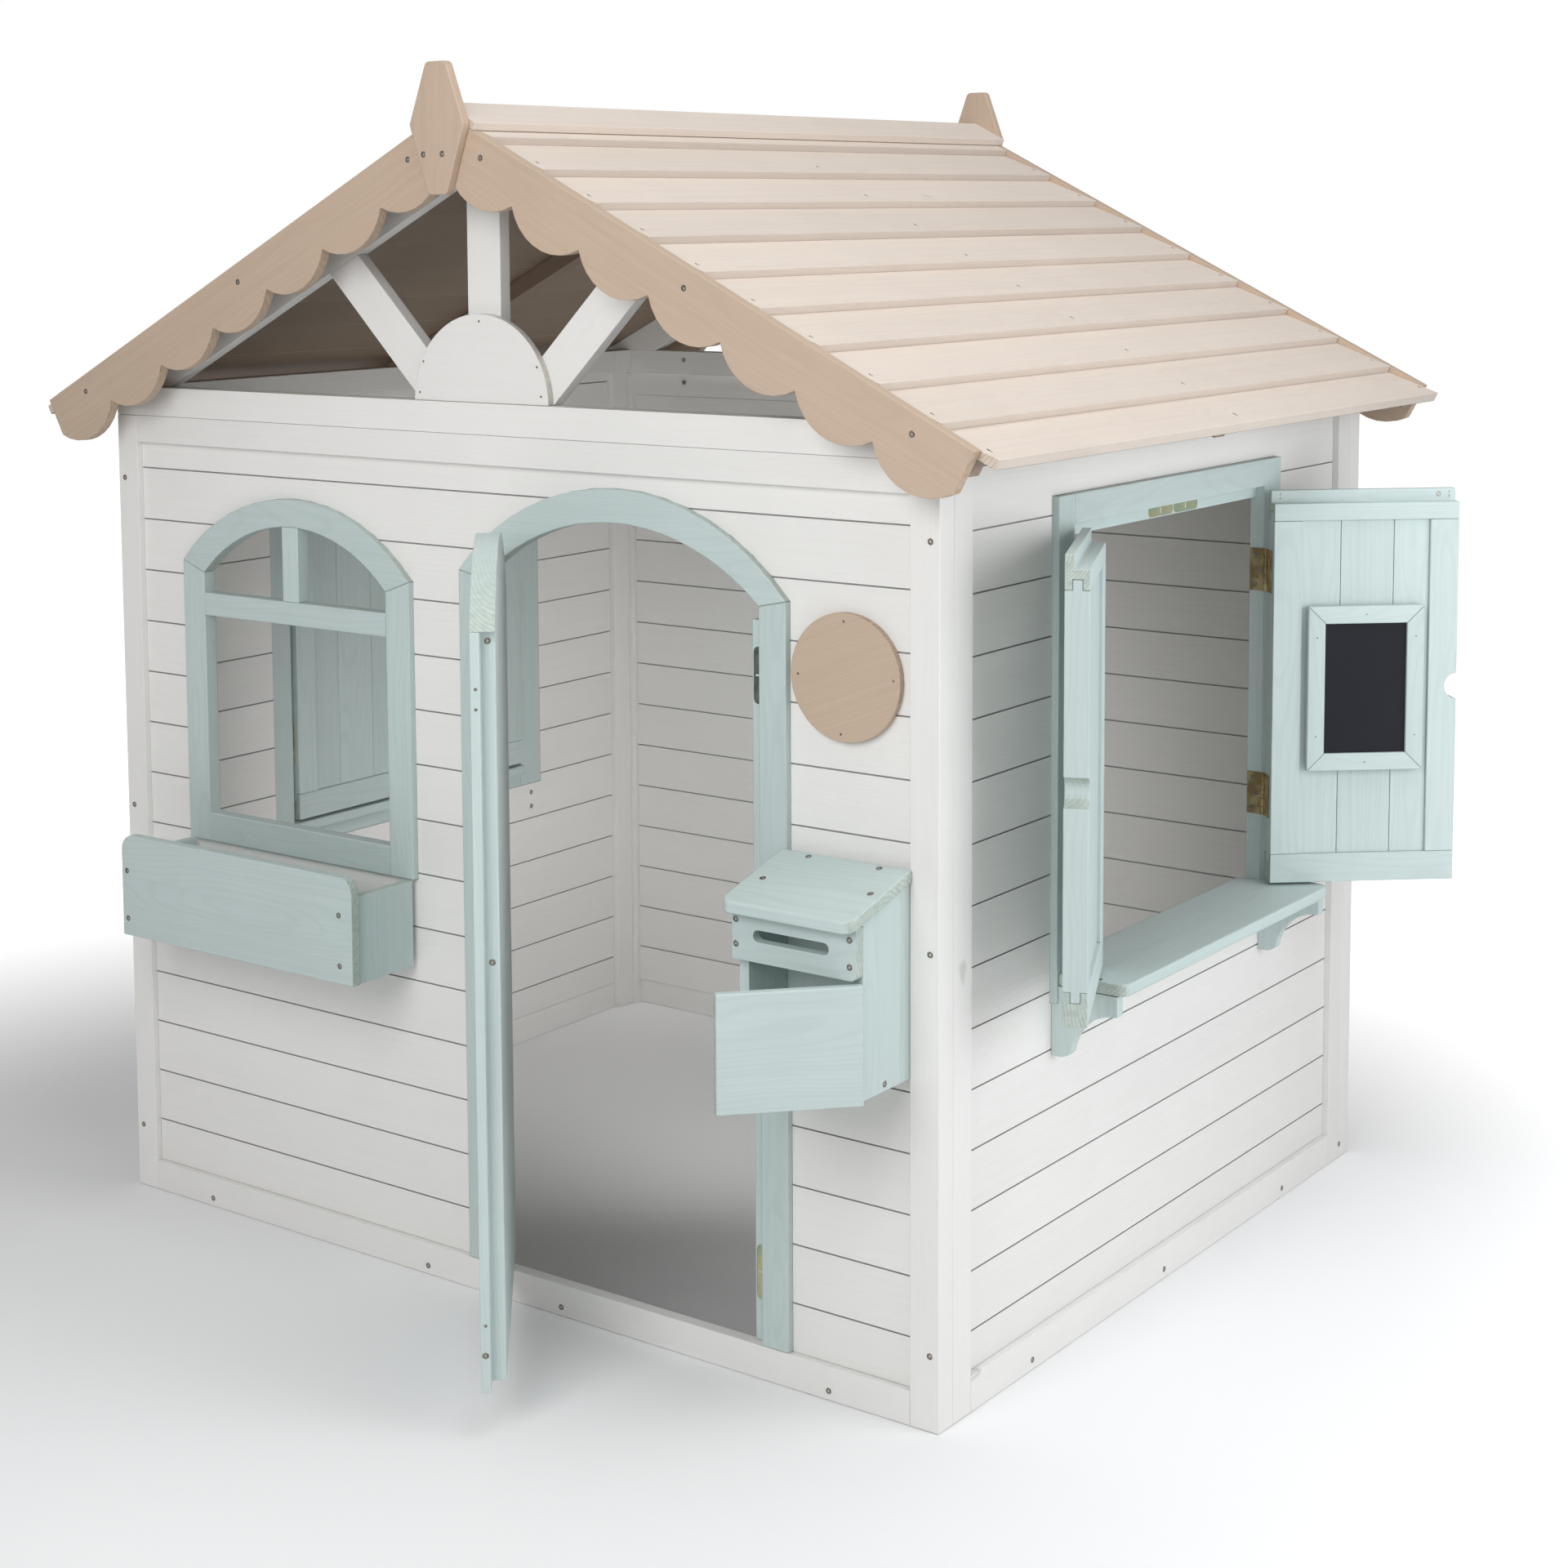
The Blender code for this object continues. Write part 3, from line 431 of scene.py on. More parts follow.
def installed(name, whole, body, looks, stands_for=(), flat_weight=None):
    """An object on its body, from a mesh that lies as when its leaf is closed.

    flat_weight is how strongly large faces hold the normals of a smooth mesh, or None for flat shading."""
    whole.transform(opened(body))
    for face in whole.faces:
        face.smooth = flat_weight is not None
    mesh = bpy.data.meshes.new(name)
    whole.to_mesh(mesh)
    whole.free()
    for look in looks:
        mesh.materials.append(look)
    obj = bpy.data.objects.new(name, mesh)
    bpy.context.scene.collection.objects.link(obj)
    if flat_weight is not None:
        weighted = obj.modifiers.new("flat_faces", "WEIGHTED_NORMAL")
        weighted.mode = "FACE_AREA"
        weighted.weight = flat_weight
    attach(obj, body)
    if stands_for:
        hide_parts(*stands_for)


def dressed(
    name, members, look, body="house", stands_for=(), grain=None, ease=0.9, finish=None, under=None, dimmed=None
):
    """One object of timber members, each with eased edges and its own grain.

    grain is a direction, a function of a member's middle and size, or None for a member's longest side.
    under is the material of faces that look down, partly painted shade, and the last argument gives how much
    painted shade darkens a face."""
    rng = random.Random(name)
    whole = bmesh.new()
    wood = whole.loops.layers.float_vector.new("wood")
    tone = whole.loops.layers.float.new("tone")
    end_face = whole.loops.layers.float.new("end_face")
    dim = whole.loops.layers.float.new("dim")
    for bm in members:
        centre, size = middle(bm)
        bmesh.ops.recalc_face_normals(bm, faces=bm.faces)
        along = grain(centre, size) if callable(grain) else grain
        axes = sorted(range(3), key=lambda i: -size[i])
        if along is None:
            along = Vector([1.0 if i == axes[0] else 0.0 for i in range(3)])
        along = Vector(along).normalized()
        thin = Vector([1.0 if i == axes[2] else 0.0 for i in range(3)])
        if abs(thin.dot(along)) > 0.9:
            thin = Vector([1.0 if i == axes[1] else 0.0 for i in range(3)])
        wide = thin.cross(along).normalized()
        thin = along.cross(wide)
        shift = Vector((rng.uniform(-9.0, 9.0), rng.uniform(-0.03, 0.03), 0.0))
        shift.z = rng.choice((-1, 1)) * rng.uniform(0.02, 0.06)
        value = rng.random()
        sharp = [e for e in bm.edges if len(e.link_faces) == 2 and e.calc_face_angle(0.0) > math.radians(29)]
        if ease and sharp:
            width = ease(centre, size) if callable(ease) else ease
            rounding = dict(segments=2, profile=0.6, affect="EDGES", clamp_overlap=True)
            bmesh.ops.bevel(bm, geom=sharp, offset=width, **rounding)
        verts = {v: whole.verts.new(v.co) for v in bm.verts}
        for face in bm.faces:
            made = whole.faces.new([verts[v] for v in face.verts])
            is_end = min(1.0, max(0.0, (abs(face.normal.dot(along)) - 0.25) / 0.45))
            # Painted shade: faces that look down take the darker underside material.
            if under and face.normal.z < -0.5:
                made.material_index = 1
            darker = dimmed(face, centre, size) if dimmed else 0.0
            for loop in made.loops:
                loop[dim] = darker
                p = (loop.vert.co - centre) / 1000.0
                loop[wood] = Vector((p.dot(along), p.dot(wide), p.dot(thin))) + shift
                loop[tone] = value
                loop[end_face] = is_end
        bm.free()
    looks = [look, under] if under else [look]
    installed(name, whole, body, looks, stands_for, flat_weight=100)


def from_cad(name, look, cuts=(), body="house", **more):
    """The CAD node, parted into its members and dressed."""
    members = loose_parts(cad_member(name, body))
    dressed(name + "_timber", parted(members, list(cuts)), look, body, (name,), **more)


def carved(bm, cutter):
    """bm with the cutter's solid taken out."""
    made = []
    for source in (bm, cutter):
        mesh = bpy.data.meshes.new("scratch")
        source.to_mesh(mesh)
        source.free()
        obj = bpy.data.objects.new("scratch", mesh)
        bpy.context.scene.collection.objects.link(obj)
        made.append(obj)
    modifier = made[0].modifiers.new("cut", "BOOLEAN")
    modifier.solver = "EXACT"
    modifier.object = made[1]
    bpy.context.view_layer.update()
    result = bmesh.new()
    result.from_object(made[0], bpy.context.evaluated_depsgraph_get())
    for obj in made:
        mesh = obj.data
        bpy.data.objects.remove(obj)
        bpy.data.meshes.remove(mesh)
    return cleaned(result)


def at_x(x, test=None):
    return ((x, 0.0, 0.0), (1.0, 0.0, 0.0), test)


def at_y(y, test=None):
    return ((0.0, y, 0.0), (0.0, 1.0, 0.0), test)


def at_z(z, test=None):
    return ((0.0, 0.0, z), (0.0, 0.0, 1.0), test)


# ---------------------------------------------------------------------------------------- walls

INNER = HALF_W - 37.5  # inner edges of the corner stiles


def joint_shade(face, centre, size):
    """Painted shade in the grooves between boards: their faces are drawn darker."""
    heights = [v.co.z for v in face.verts]
    return 0.45 if max(heights) - min(heights) < 2.0 or abs(face.normal.z) > 0.9 else 0.0


for place in ("front", "back"):
    from_cad(f"{place}_wall_frame", WHITE, [at_x(-INNER), at_x(INNER)])
    joints = [at_z(98.6 + BOARD_PITCH * k) for k in range(14)]
    from_cad(f"{place}_wall_boards", WHITE, joints, grain=(1, 0, 0), ease=0.25, dimmed=joint_shade)
    from_cad(f"{place}_gable_beam", WHITE)

for prefix in ("right", "left"):
    from_cad(f"{prefix}_wall_frame", WHITE, [at_y(69.0), at_y(1038.0)])
    joints = [at_z(87.8 + BOARD_PITCH * k) for k in range(15)]
    from_cad(f"{prefix}_wall_boards", WHITE, joints, grain=(0, 1, 0), ease=0.25, dimmed=joint_shade)
    jambs = [at_y(y) for y in OPENING_Y]
    head = at_z(985.0, lambda c: c.z > 900 and 300 < c.y < 795)
    from_cad(f"{prefix}_window_frame", MINT, [*jambs, head], ease=1.0)
    from_cad(f"{prefix}_counter", MINT, ease=3.0)
    for place in ("near", "far"):
        from_cad(f"{prefix}_bracket_{place}", MINT, grain=(0, 0, 1), ease=0.8)


def truss(name, low, high):
    """King post, struts and rafters, halved together in one plane."""
    base = 1119.3
    top, under = 11.9, 57.0
    apex_in = RIDGE_Z - under / ROOF_COS
    apex_out = RIDGE_Z - top / ROOF_COS
    foot_out, foot_in = (apex_out - base) / PITCH, (apex_in - base) / PITCH
    members = []
    for side in (1, -1):
        rafter = [(0.06, apex_in), (0.06, apex_out), (foot_out, base), (foot_in, base)]
        members.append(prism([(side * x, z) for x, z in rafter], "Y", low, high))
        edges = []
        for start in (1012.0, 1087.0):
            x = (apex_in - 0.15 - start) / (1.0 + PITCH)
            edges.append((x, start + x))
        strut = [(base - 1012.0, base), edges[0], edges[1], (44.5, 1131.5), (26.5, 1131.5), (26.5, base)]
        members.append(prism([(side * x, z) for x, z in strut], "Y", low, high))
    half = 26.4
    shoulder = apex_in - PITCH * half - 0.1
    post = [(-half, base), (half, base), (half, shoulder), (0.0, apex_in - 0.1), (-half, shoulder)]
    members.append(prism(post, "Y", low, high))

    def lie(centre, size):
        side = 1.0 if centre.x > 0 else -1.0
        if abs(centre.x) < 5.0:
            return (0, 0, 1)
        if centre.z > 1200.0 and abs(centre.x) > 150.0:
            return (side, 0, -PITCH)
        return (side, 0, 1)

    dressed(name + "_timber", members, WHITE, stands_for=(name,), grain=lie, ease=1.0)


truss("front_gable_truss", 14.0, 32.0)
truss("back_gable_truss", DEPTH - 32.0, DEPTH - 14.0)
from_cad("sun_disc", WHITE, grain=(1, 0, 0), ease=1.2)

# ---------------------------------------------------------------------------- door and window frames


def arch_points(centre, half, spring, top, steps=20):
    rise = top - spring
    radius = (half * half + rise * rise) / (2 * rise)
    sweep = math.degrees(math.asin(half / radius))
    return arc((centre, top - radius), radius, 90 - sweep, 90 + sweep, steps)


def arched_band(centre, foot, outer, inner):
    """Head and both jambs of an arched frame, joined on a line from spring to spring."""
    over, under = arch_points(centre, *outer), arch_points(centre, *inner)
    head = prism(over + under[::-1], "Y", 0.0, 20.0)
    members = [head]
    for way in (1, -1):
        out_x, in_x = centre + way * outer[0], centre + way * inner[0]
        outline = [(in_x, foot), (out_x, foot), (out_x, outer[1] - 0.15), (in_x, inner[1] - 0.15)]
        members.append(prism(outline, "Y", 0.0, 20.0))
    return members


dressed(
    "door_frame_timber",
    arched_band(208.3, 40.3, (245.3, 913.0, 1026.0), (208.0, 905.0, 986.0)),
    MINT,
    stands_for=("door_frame",),
    ease=1.6,
)
from_cad("door_stop", MINT, ease=1.6)

WINDOW_C = -327.0
window = arched_band(WINDOW_C, 511.0, (205.5, 890.0, 982.0), (165.5, 875.0, 946.0))
window.append(box(WINDOW_C - 165.4, WINDOW_C + 165.4, 0.0, 20.0, 511.0, 549.5))
window.append(box(WINDOW_C - 165.4, WINDOW_C + 165.4, 0.0, 20.0, 817.5, 848.0))
crown = [p for p in arch_points(WINDOW_C, 165.5, 875.0, 946.0, 60) if -344.0 < p[0] < -315.0]
mullion = [(-344.0, 848.1), (-315.0, 848.1), (-315.0, crown[0][1] - 0.1)]
mullion += [(x, z - 0.1) for x, z in crown] + [(-344.0, crown[-1][1] - 0.1)]
window.append(prism(mullion, "Y", 0.0, 20.0))
dressed("front_window_timber", window, MINT, stands_for=("front_window_frame",), ease=1.4)

# ------------------------------------------------------------------------------------- shutters

BACK = HALF_W - 27.5  # inner face of a closed shutter
LIP = HALF_W - 11.0  # face of its rebated lip
TONGUE = (636.2, 646.8)


def shutter(name, side, near, body):
    """Rails grooved along their inner edges, stiles tongued into them, and three boards between."""
    hinge_edge = OPENING_Y[0] + 2 * PIVOT_IN if near else OPENING_Y[1] - 2 * PIVOT_IN
    way = 1 if near else -1

    def span(a, b):
        return sorted((hinge_edge + way * a, hinge_edge + way * b))

    def profile(points, a, b):
        return prism([(side * x, z) for x, z in points], "Y", *span(a, b))

    groove = (TONGUE[0] - 0.3, TONGUE[1] + 0.3)
    top = [(BACK, 942.3), (groove[0], 942.3), (groove[0], 954.0), (groove[1], 954.0), (groove[1], 942.3)]
    top += [(HALF_W, 942.3), (HALF_W, 981.0), (LIP, 981.0), (LIP, 965.0), (BACK, 965.0)]
    foot = [(BACK, 464.0), (HALF_W, 464.0), (HALF_W, 502.0), (groove[1], 502.0), (groove[1], 490.0)]
    foot += [(groove[0], 490.0), (groove[0], 502.0), (BACK, 502.0)]
    stile = [(TONGUE[0], 490.4), (TONGUE[1], 490.4), (TONGUE[1], 502.2), (HALF_W, 502.2), (HALF_W, 942.1)]
    stile += [(TONGUE[1], 942.1), (TONGUE[1], 953.6), (TONGUE[0], 953.6), (TONGUE[0], 942.1), (BACK, 942.1)]
    stile += [(BACK, 502.2), (TONGUE[0], 502.2)]
    members = [profile(top, 0.0, 245.0), profile(foot, 0.0, 245.0), profile(stile, 0.0, 38.0)]
    free = profile(stile, 207.0, 245.0)
    notch = [(hinge_edge + way * (246.0 + u), v) for u, v in arc((0.0, 722.0), 17.0, 0, 345, 23)]
    members.append(carved(free, prism(notch, "X", side * 600.0, side * 700.0)))
    board = [(BACK + 4.5, 502.0), (HALF_W - 4.5, 502.0), (HALF_W - 4.5, 942.3), (BACK + 4.5, 942.3)]
    members += [profile(board, a, b) for a, b in ((38.0, 89.2), (89.8, 159.7), (160.3, 207.0))]

    def lie(centre, size):
        return (0, 0, 1) if size.z > size.y else (0, 1, 0)

    def ease(centre, size):
        return 1.3 if size.x > 20.0 else 0.8

    dressed(name + "_timber", members, MINT, body, (name,), grain=lie, ease=ease)


shutter("right_shutter_near", 1, True, "leaf_right_shutter_near")
shutter("right_shutter_far", 1, False, "leaf_right_shutter_far")
shutter("left_shutter_near", -1, True, "leaf_left_shutter_near")
shutter("left_shutter_far", -1, False, "leaf_left_shutter_far")


def blackboard():
    """Mitred border round a slate panel."""
    face = BACK - 0.3
    y0, y1, z0, z1, band = 754.8, 600.8, 614.0, 831.0, 23.0
    corners = [(y0, z0), (y1, z0), (y1, z1), (y0, z1)]
    inner = [(y0 - band, z0 + band), (y1 + band, z0 + band), (y1 + band, z1 - band), (y0 - band, z1 - band)]
    members = []
    for i in range(4):
        j = (i + 1) % 4
        members.append(prism([corners[i], corners[j], inner[j], inner[i]], "X", face - 9.0, face))
    body = "leaf_right_shutter_far"
    dressed("blackboard_border", members, MINT, body, ("blackboard",), ease=1.6)
    panel = [(y0 - band + 0.2, z0 + band + 0.2), (y1 + band - 0.2, z0 + band + 0.2)]
    panel += [(y1 + band - 0.2, z1 - band - 0.2), (y0 - band + 0.2, z1 - band - 0.2)]
    slate = prism(panel, "X", face - 5.0, face)
    dressed("blackboard_slate", [slate], SLATE, body, ease=0.4, finish="blackboard_paint")


blackboard()

# ----------------------------------------------------------------------------------------- door

DOOR_X = (4.5, 402.0)
LEFT, RIGHT = DOOR_X[0] + 38.0, DOOR_X[1] - 54.0
THIRD = (RIGHT - LEFT) / 3.0
HEAD_Z = 902.0


def low_part(centre):
    return centre.z < HEAD_Z


def panel_part(centre):
    return centre.z < HEAD_Z and LEFT < centre.x < RIGHT


def boards_part(centre):
    return panel_part(centre) and (102.0 < centre.z < 516.0 or 556.0 < centre.z < HEAD_Z)


door_cuts = [at_z(HEAD_Z), at_x(LEFT, low_part), at_x(RIGHT, low_part)]
door_cuts += [at_z(z, panel_part) for z in (102.0, 516.0, 556.0)]
door_cuts += [at_x(LEFT + THIRD, boards_part), at_x(RIGHT - THIRD, boards_part)]
from_cad("door_leaf", MINT, door_cuts, "leaf_door", ease=1.1)

# ------------------------------------------------------------------------------- front fittings

from_cad("planter_front", MINT, ease=1.6)
from_cad("planter_tray", MINT, [at_x(-521.0), at_x(-135.0)], ease=1.0)
LID_SLOPE = 0.28
BOX_LEFT, BOX_RIGHT = 454.1, 617.6
SLOT_FRONT, SLOT_BACK = -105.3, -92.3


def lid_under(y):
    return 618.5 + LID_SLOPE * y


def before_back_board(centre):
    return centre.y < -17.0


def box_grain(centre, size):
    return (0, 0, 1) if size.z > 60.0 else (1, 0, 0)


box_cuts = [at_y(-17.3), at_x(467.1, before_back_board), at_x(604.6, before_back_board)]
from_cad("mailbox_box", MINT, box_cuts, grain=box_grain, ease=0.9)
from_cad("mailbox_lid", MINT, grain=(1, 0, 0), ease=2.6)
from_cad("mailbox_flap", MINT, body="leaf_mailbox_flap", ease=2.2)
slot = arc((575.6, 560.5), 6.7, -90, 90, 10) + arc((489.1, 560.5), 6.7, 90, 270, 10)
board_top = lid_under(SLOT_FRONT) - 0.6
slot_board = [(BOX_LEFT, 530.7), *arc((609.6, 538.7), 8.0, -90, 0, 6)]
slot_board += [(BOX_RIGHT, board_top), (BOX_LEFT, board_top)]
slotted = prism(slot_board, "Y", SLOT_FRONT, SLOT_BACK, [slot])
dressed("mailbox_slot_timber", [slotted], MINT, stands_for=("mailbox_slot_board",), ease=1.4)
from_cad("round_sign", TAUPE, grain=(1, 0, 0.4), ease=1.2)

# ----------------------------------------------------------------------------------------- roof

def down_slope(centre, size):
    return (1.0 if centre.x > 0 else -1.0, 0, -PITCH)


def step_shade(face, centre, size):
    """Painted shade: the butt of each lapped board, which faces down the slope, is drawn darker than its face.
    """
    outward = face.normal.x if centre.x > 0 else -face.normal.x
    return 0.14 if outward > 0.6 else 0.0


# Painted shade: the rafters, beige timber, are drawn in the darker underside timber.
RAFTERS = dict(cuts=[at_x(0.0)], grain=down_slope, ease=0.9, finish="beige_timber")
for place in ("front", "back"):
    for prefix, side in (("right", 1), ("left", -1)):
        from_cad(f"bargeboard_{place}_{prefix}", TAUPE, grain=(side, 0, -PITCH), ease=1.0)
    from_cad(f"finial_{place}", TAUPE, grain=(0, 0, 1), ease=1.6)
    from_cad(f"roof_rafters_{place}", SHADED_UNDERSIDE, **RAFTERS)
from_cad("roof_rafters_middle", SHADED_UNDERSIDE, **RAFTERS)

for prefix, side in (("right", 1), ("left", -1)):
    cuts = []
    for k in range(9):
        x, z = slope(LAP_START + LAP_STEP * k)
        cuts.append(((side * x, 0.0, z), (side * ROOF_COS, 0.0, -ROOF_SIN), None))
    # Painted shade: the undersides and lap butts of the roof boards are drawn darker.
    lapped = dict(grain=(0, 1, 0), ease=0.7, under=SHADED_UNDERSIDE, dimmed=step_shade)
    from_cad(f"roof_boards_{prefix}", BEIGE, cuts, **lapped)
    from_cad(f"ridge_cap_{prefix}", BEIGE, grain=(0, 1, 0), ease=0.9)

# ----------------------------------------------------------------------------- screws and nails


def facing(normal):
    """Turns +Z to the normal."""
    return Vector((0.0, 0.0, 1.0)).rotation_difference(Vector(normal).normalized()).to_matrix().to_4x4()


def screw_head(radius, proud, turn):
    """A dished head with a cross recess, in a shallow pressed ring."""
    bm = bmesh.new()
    count = 32
    rings = []
    for r_of, z in (
        (lambda a: radius, -0.6),
        (lambda a: radius, proud * 0.55),
        (lambda a: radius * 0.9, proud),
        (lambda a: radius * (0.26 + 0.36 * abs(math.cos(2 * a)) ** 6), proud * 0.94),
        (lambda a: radius * (0.16 + 0.28 * abs(math.cos(2 * a)) ** 6), proud - 1.1),
    ):
        ring = []
        for i in range(count):
            a = 2 * math.pi * i / count
            ring.append(bm.verts.new((r_of(a) * math.cos(a + turn), r_of(a) * math.sin(a + turn), z)))
        rings.append(ring)
    for lower, upper in zip(rings, rings[1:]):
        for i in range(count):
            j = (i + 1) % count
            bm.faces.new((lower[i], lower[j], upper[j], upper[i]))
    bm.faces.new(rings[0][::-1])
    bm.faces.new(rings[-1])
    return bm


def disc_head(radius, proud, long_side=0.0):
    """A nail head, or a staple's crown where it has a long side."""
    half = long_side / 2.0
    outline = arc((half, 0.0), radius, -90, 90, 6) + arc((-half, 0.0), radius, 90, 270, 6)
    bm = prism(outline, "Z", -0.3, proud)
    rim = [e for e in bm.edges if e.calc_face_angle(0.0) > 1.0 and all(v.co.z > 0 for v in e.verts)]
    bmesh.ops.bevel(bm, geom=rim, offset=proud * 0.45, segments=1, affect="EDGES")
    return bm


def joined(bms):
    """One mesh of many closed ones."""
    whole = bmesh.new()
    for bm in bms:
        spare = bpy.data.meshes.new("spare")
        bm.to_mesh(spare)
        bm.free()
        whole.from_mesh(spare)
        bpy.data.meshes.remove(spare)
    bmesh.ops.recalc_face_normals(whole, faces=whole.faces)
    return whole


def fixings(name, body, spots, make, look=STEEL):
    """Many heads on one body as one piece. A spot is (point, normal)."""
    rng = random.Random(name)
    heads = []
    for point, normal in spots:
        head = make(rng)
        head.transform(Matrix.Translation(point) @ facing(normal))
        heads.append(head)
    installed(name, joined(heads), body, [look])


def screw(rng):
    return screw_head(3.7, 0.45, rng.uniform(0, math.pi))


def turned(radius, proud):
    """A maker of small screw heads, each turned its own way."""
    return lambda rng: screw_head(radius, proud, rng.uniform(0, 3))


LID_SCREWS = ((468.0, -66.0), (490.0, -9.0), (584.0, -9.0), (606.0, -60.0))
FRONT, BACKWARD, UP = (0, -1, 0), (0, 1, 0), (0, 0, 1)
RIGHTWARD, LEFTWARD = (1, 0, 0), (-1, 0, 0)
spots = []
for x in (-644.0, 644.0):
    for z in (994.0, 541.0, 87.0):
        spots.append(((x, 0.0, z), FRONT))
        spots.append(((x, DEPTH, z), BACKWARD))
for x in (-506.0, -108.0, 113.0, 509.0):
    spots.append(((x, 0.0, 11.0), FRONT))
    spots.append(((x, DEPTH, 11.0), BACKWARD))
for y, z in ((207.0, 12.0), (539.0, 12.0), (887.0, 12.0), (1077.0, 19.0)):
    for side in (1, -1):
        spots.append(((side * HALF_W, y, z), (side, 0, 0)))
for side in (1, -1):
    for x, z in ((58.0, 1412.5), (356.0, 1263.5), (655.0, 1114.0)):
        spots.append(((side * x, -OVERHANG, z), FRONT))
        spots.append(((side * x, DEPTH + OVERHANG, z), BACKWARD))
for x in (-21.0, 9.0):
    spots.append(((x, -66.9, 1418.0), FRONT))
    spots.append(((-x, DEPTH + 66.9, 1418.0), BACKWARD))
for x in (-526.0, -137.5):
    for z in (489.0, 425.0):
        spots.append(((x, -118.0, z), FRONT))
for x, z in ((459.5, 575.5), (459.5, 548.0), (609.0, 575.5), (609.0, 546.0)):
    spots.append(((x, SLOT_FRONT, z), FRONT))
for x, y in LID_SCREWS:
    spots.append(((x, y, lid_under(y) + 14.3), (0.0, -LID_SLOPE, 1.0)))
spots.append(((BOX_RIGHT, -50.0, 405.0), RIGHTWARD))
spots.append(((BOX_LEFT, -50.0, 405.0), LEFTWARD))
for x in (-506.0, 506.0):
    spots.append(((x, DEPTH - 30.0, 1105.0), FRONT))
    spots.append(((x, DEPTH - 30.0, 1068.0), FRONT))
for side in (1, -1):
    for y in (269.0, 825.0):
        spots.append(((side * 706.0, y, 460.3), UP))
        for z in (410.0, 387.0):
            spots.append(((side * 635.5, y + (3.0 if y > 500 else 0.0), z), (-side, 0, 0)))
fixings("screws_house", "house", spots, screw)

SUN_NAILS = ((0.0, 1218.0), (-92.0, 1167.0), (91.0, 1165.0), (-99.0, 1129.0), (97.0, 1130.0))
nails = [((x, 3.7, z), FRONT) for x, z in SUN_NAILS]
for x, z in ((532.0, 898.0), (470.5, 834.0), (597.0, 838.0), (528.0, 771.5)):
    nails.append(((x, -0.3, z), FRONT))
fixings("nails_house", "house", nails, lambda rng: disc_head(1.5, 0.35))

staples = []
for side in (1, -1):
    normal = Vector((side * ROOF_SIN, 0.0, ROOF_COS))
    for k in range(9):
        foot = LAP_START + LAP_STEP * (k + 1) if k < 8 else 752.0
        s = foot / ROOF_COS - 22.0
        fall = 9.5 * 22.0 / (LAP_STEP / ROOF_COS)
        out = 1.5 - fall
        x, z = s * ROOF_COS + out * ROOF_SIN, RIDGE_Z - s * ROOF_SIN + out * ROOF_COS
        for y in (-25.0, DEPTH / 2, DEPTH + 25.0):
            staples.append(((side * x, y, z), normal))
fixings("roof_staples", "house", staples, lambda rng: disc_head(0.8, 0.3, 6.0))

door_spots = [((402.0, 5.5, 98.0), RIGHTWARD)]
door_spots += [((386.0, 19.0, z), RIGHTWARD) for z in (536.0, 890.0)]
fixings("screws_door", "leaf_door", door_spots, screw)
keepers = [((402.0, 6.0, z), RIGHTWARD) for z in (840.0, 818.0, 132.0)]
fixings("keepers_door", "leaf_door", keepers, lambda rng: disc_head(1.8, 0.6))
fixings("screw_shutter", "leaf_right_shutter_far", [((644.85, 798.8 - 222.0, 973.5), (-1, 0, 0))], screw)
shutter_nails = [((644.64, 798.8 - u, z), (-1, 0, 0)) for u in (12.0, 236.0) for z in (971.0, 976.0)]
fixings("nails_shutter", "leaf_right_shutter_far", shutter_nails, lambda rng: disc_head(0.9, 0.25, 2.0))

# -------------------------------------------------------------------------- hinges and catches


def plate_piece(name, body, bms, look, replaced=()):
    installed(name, joined(bms), body, [look], replaced, flat_weight=50)


def eased(bm, width):
    edges = [e for e in bm.edges if len(e.link_faces) == 2 and e.calc_face_angle(0.0) > 0.6]
    bmesh.ops.bevel(bm, geom=edges, offset=width, segments=1, affect="EDGES", clamp_overlap=True)
    return bm


def butt_hinge(name, leaf_body, to_plan, level):
    """Two leaves on one barrel of five knuckles. to_plan(u, v) puts out-of-opening u and across v on plan."""

    def rod(radius, step, low, high):
        turns = [math.radians(angle) for angle in range(0, 360, step)]
        ring = [to_plan(PIVOT_OUT + radius * math.cos(a), PIVOT_IN + radius * math.sin(a)) for a in turns]
        return prism(ring, "Z", low, high)

    fixed, moving = [], []
    for k in range(5):
        z0, z1 = level - 28.0 + 11.2 * k, level - 28.0 + 11.2 * (k + 1)
        (moving if k % 2 else fixed).append(eased(rod(3.2, 18, z0 + 0.25, z1 - 0.25), 0.35))
    fixed.append(rod(1.5, 30, level - 27.9, level + 27.9))
    for group, (v0, v1) in ((fixed, (0.3, 1.8)), (moving, (2.4, 3.9))):
        leaf = [to_plan(u, v) for u, v in ((-19.0, v0), (1.2, v0), (1.2, v1), (-19.0, v1))]
        group.append(eased(prism(leaf, "Z", level - 28.0, level + 28.0), 0.4))
    plate_piece(name + "_fixed_leaf", "house", fixed, BRASS, replaced=(name,))
    plate_piece(name + "_moving_leaf", leaf_body, moving, BRASS)
    spots = []
    centre = Vector(to_plan(-9.0, 1.8))
    away = (Vector(to_plan(-9.0, 5.0)) - centre).normalized()
    for k, dz in enumerate((-20.0, 0.0, 20.0)):
        p = Vector(to_plan(-9.0 + (4.0 if k == 1 else -2.0), 1.8))
        spots.append(((p.x, p.y, level + dz), (away.x, away.y, 0.0)))
    return spots


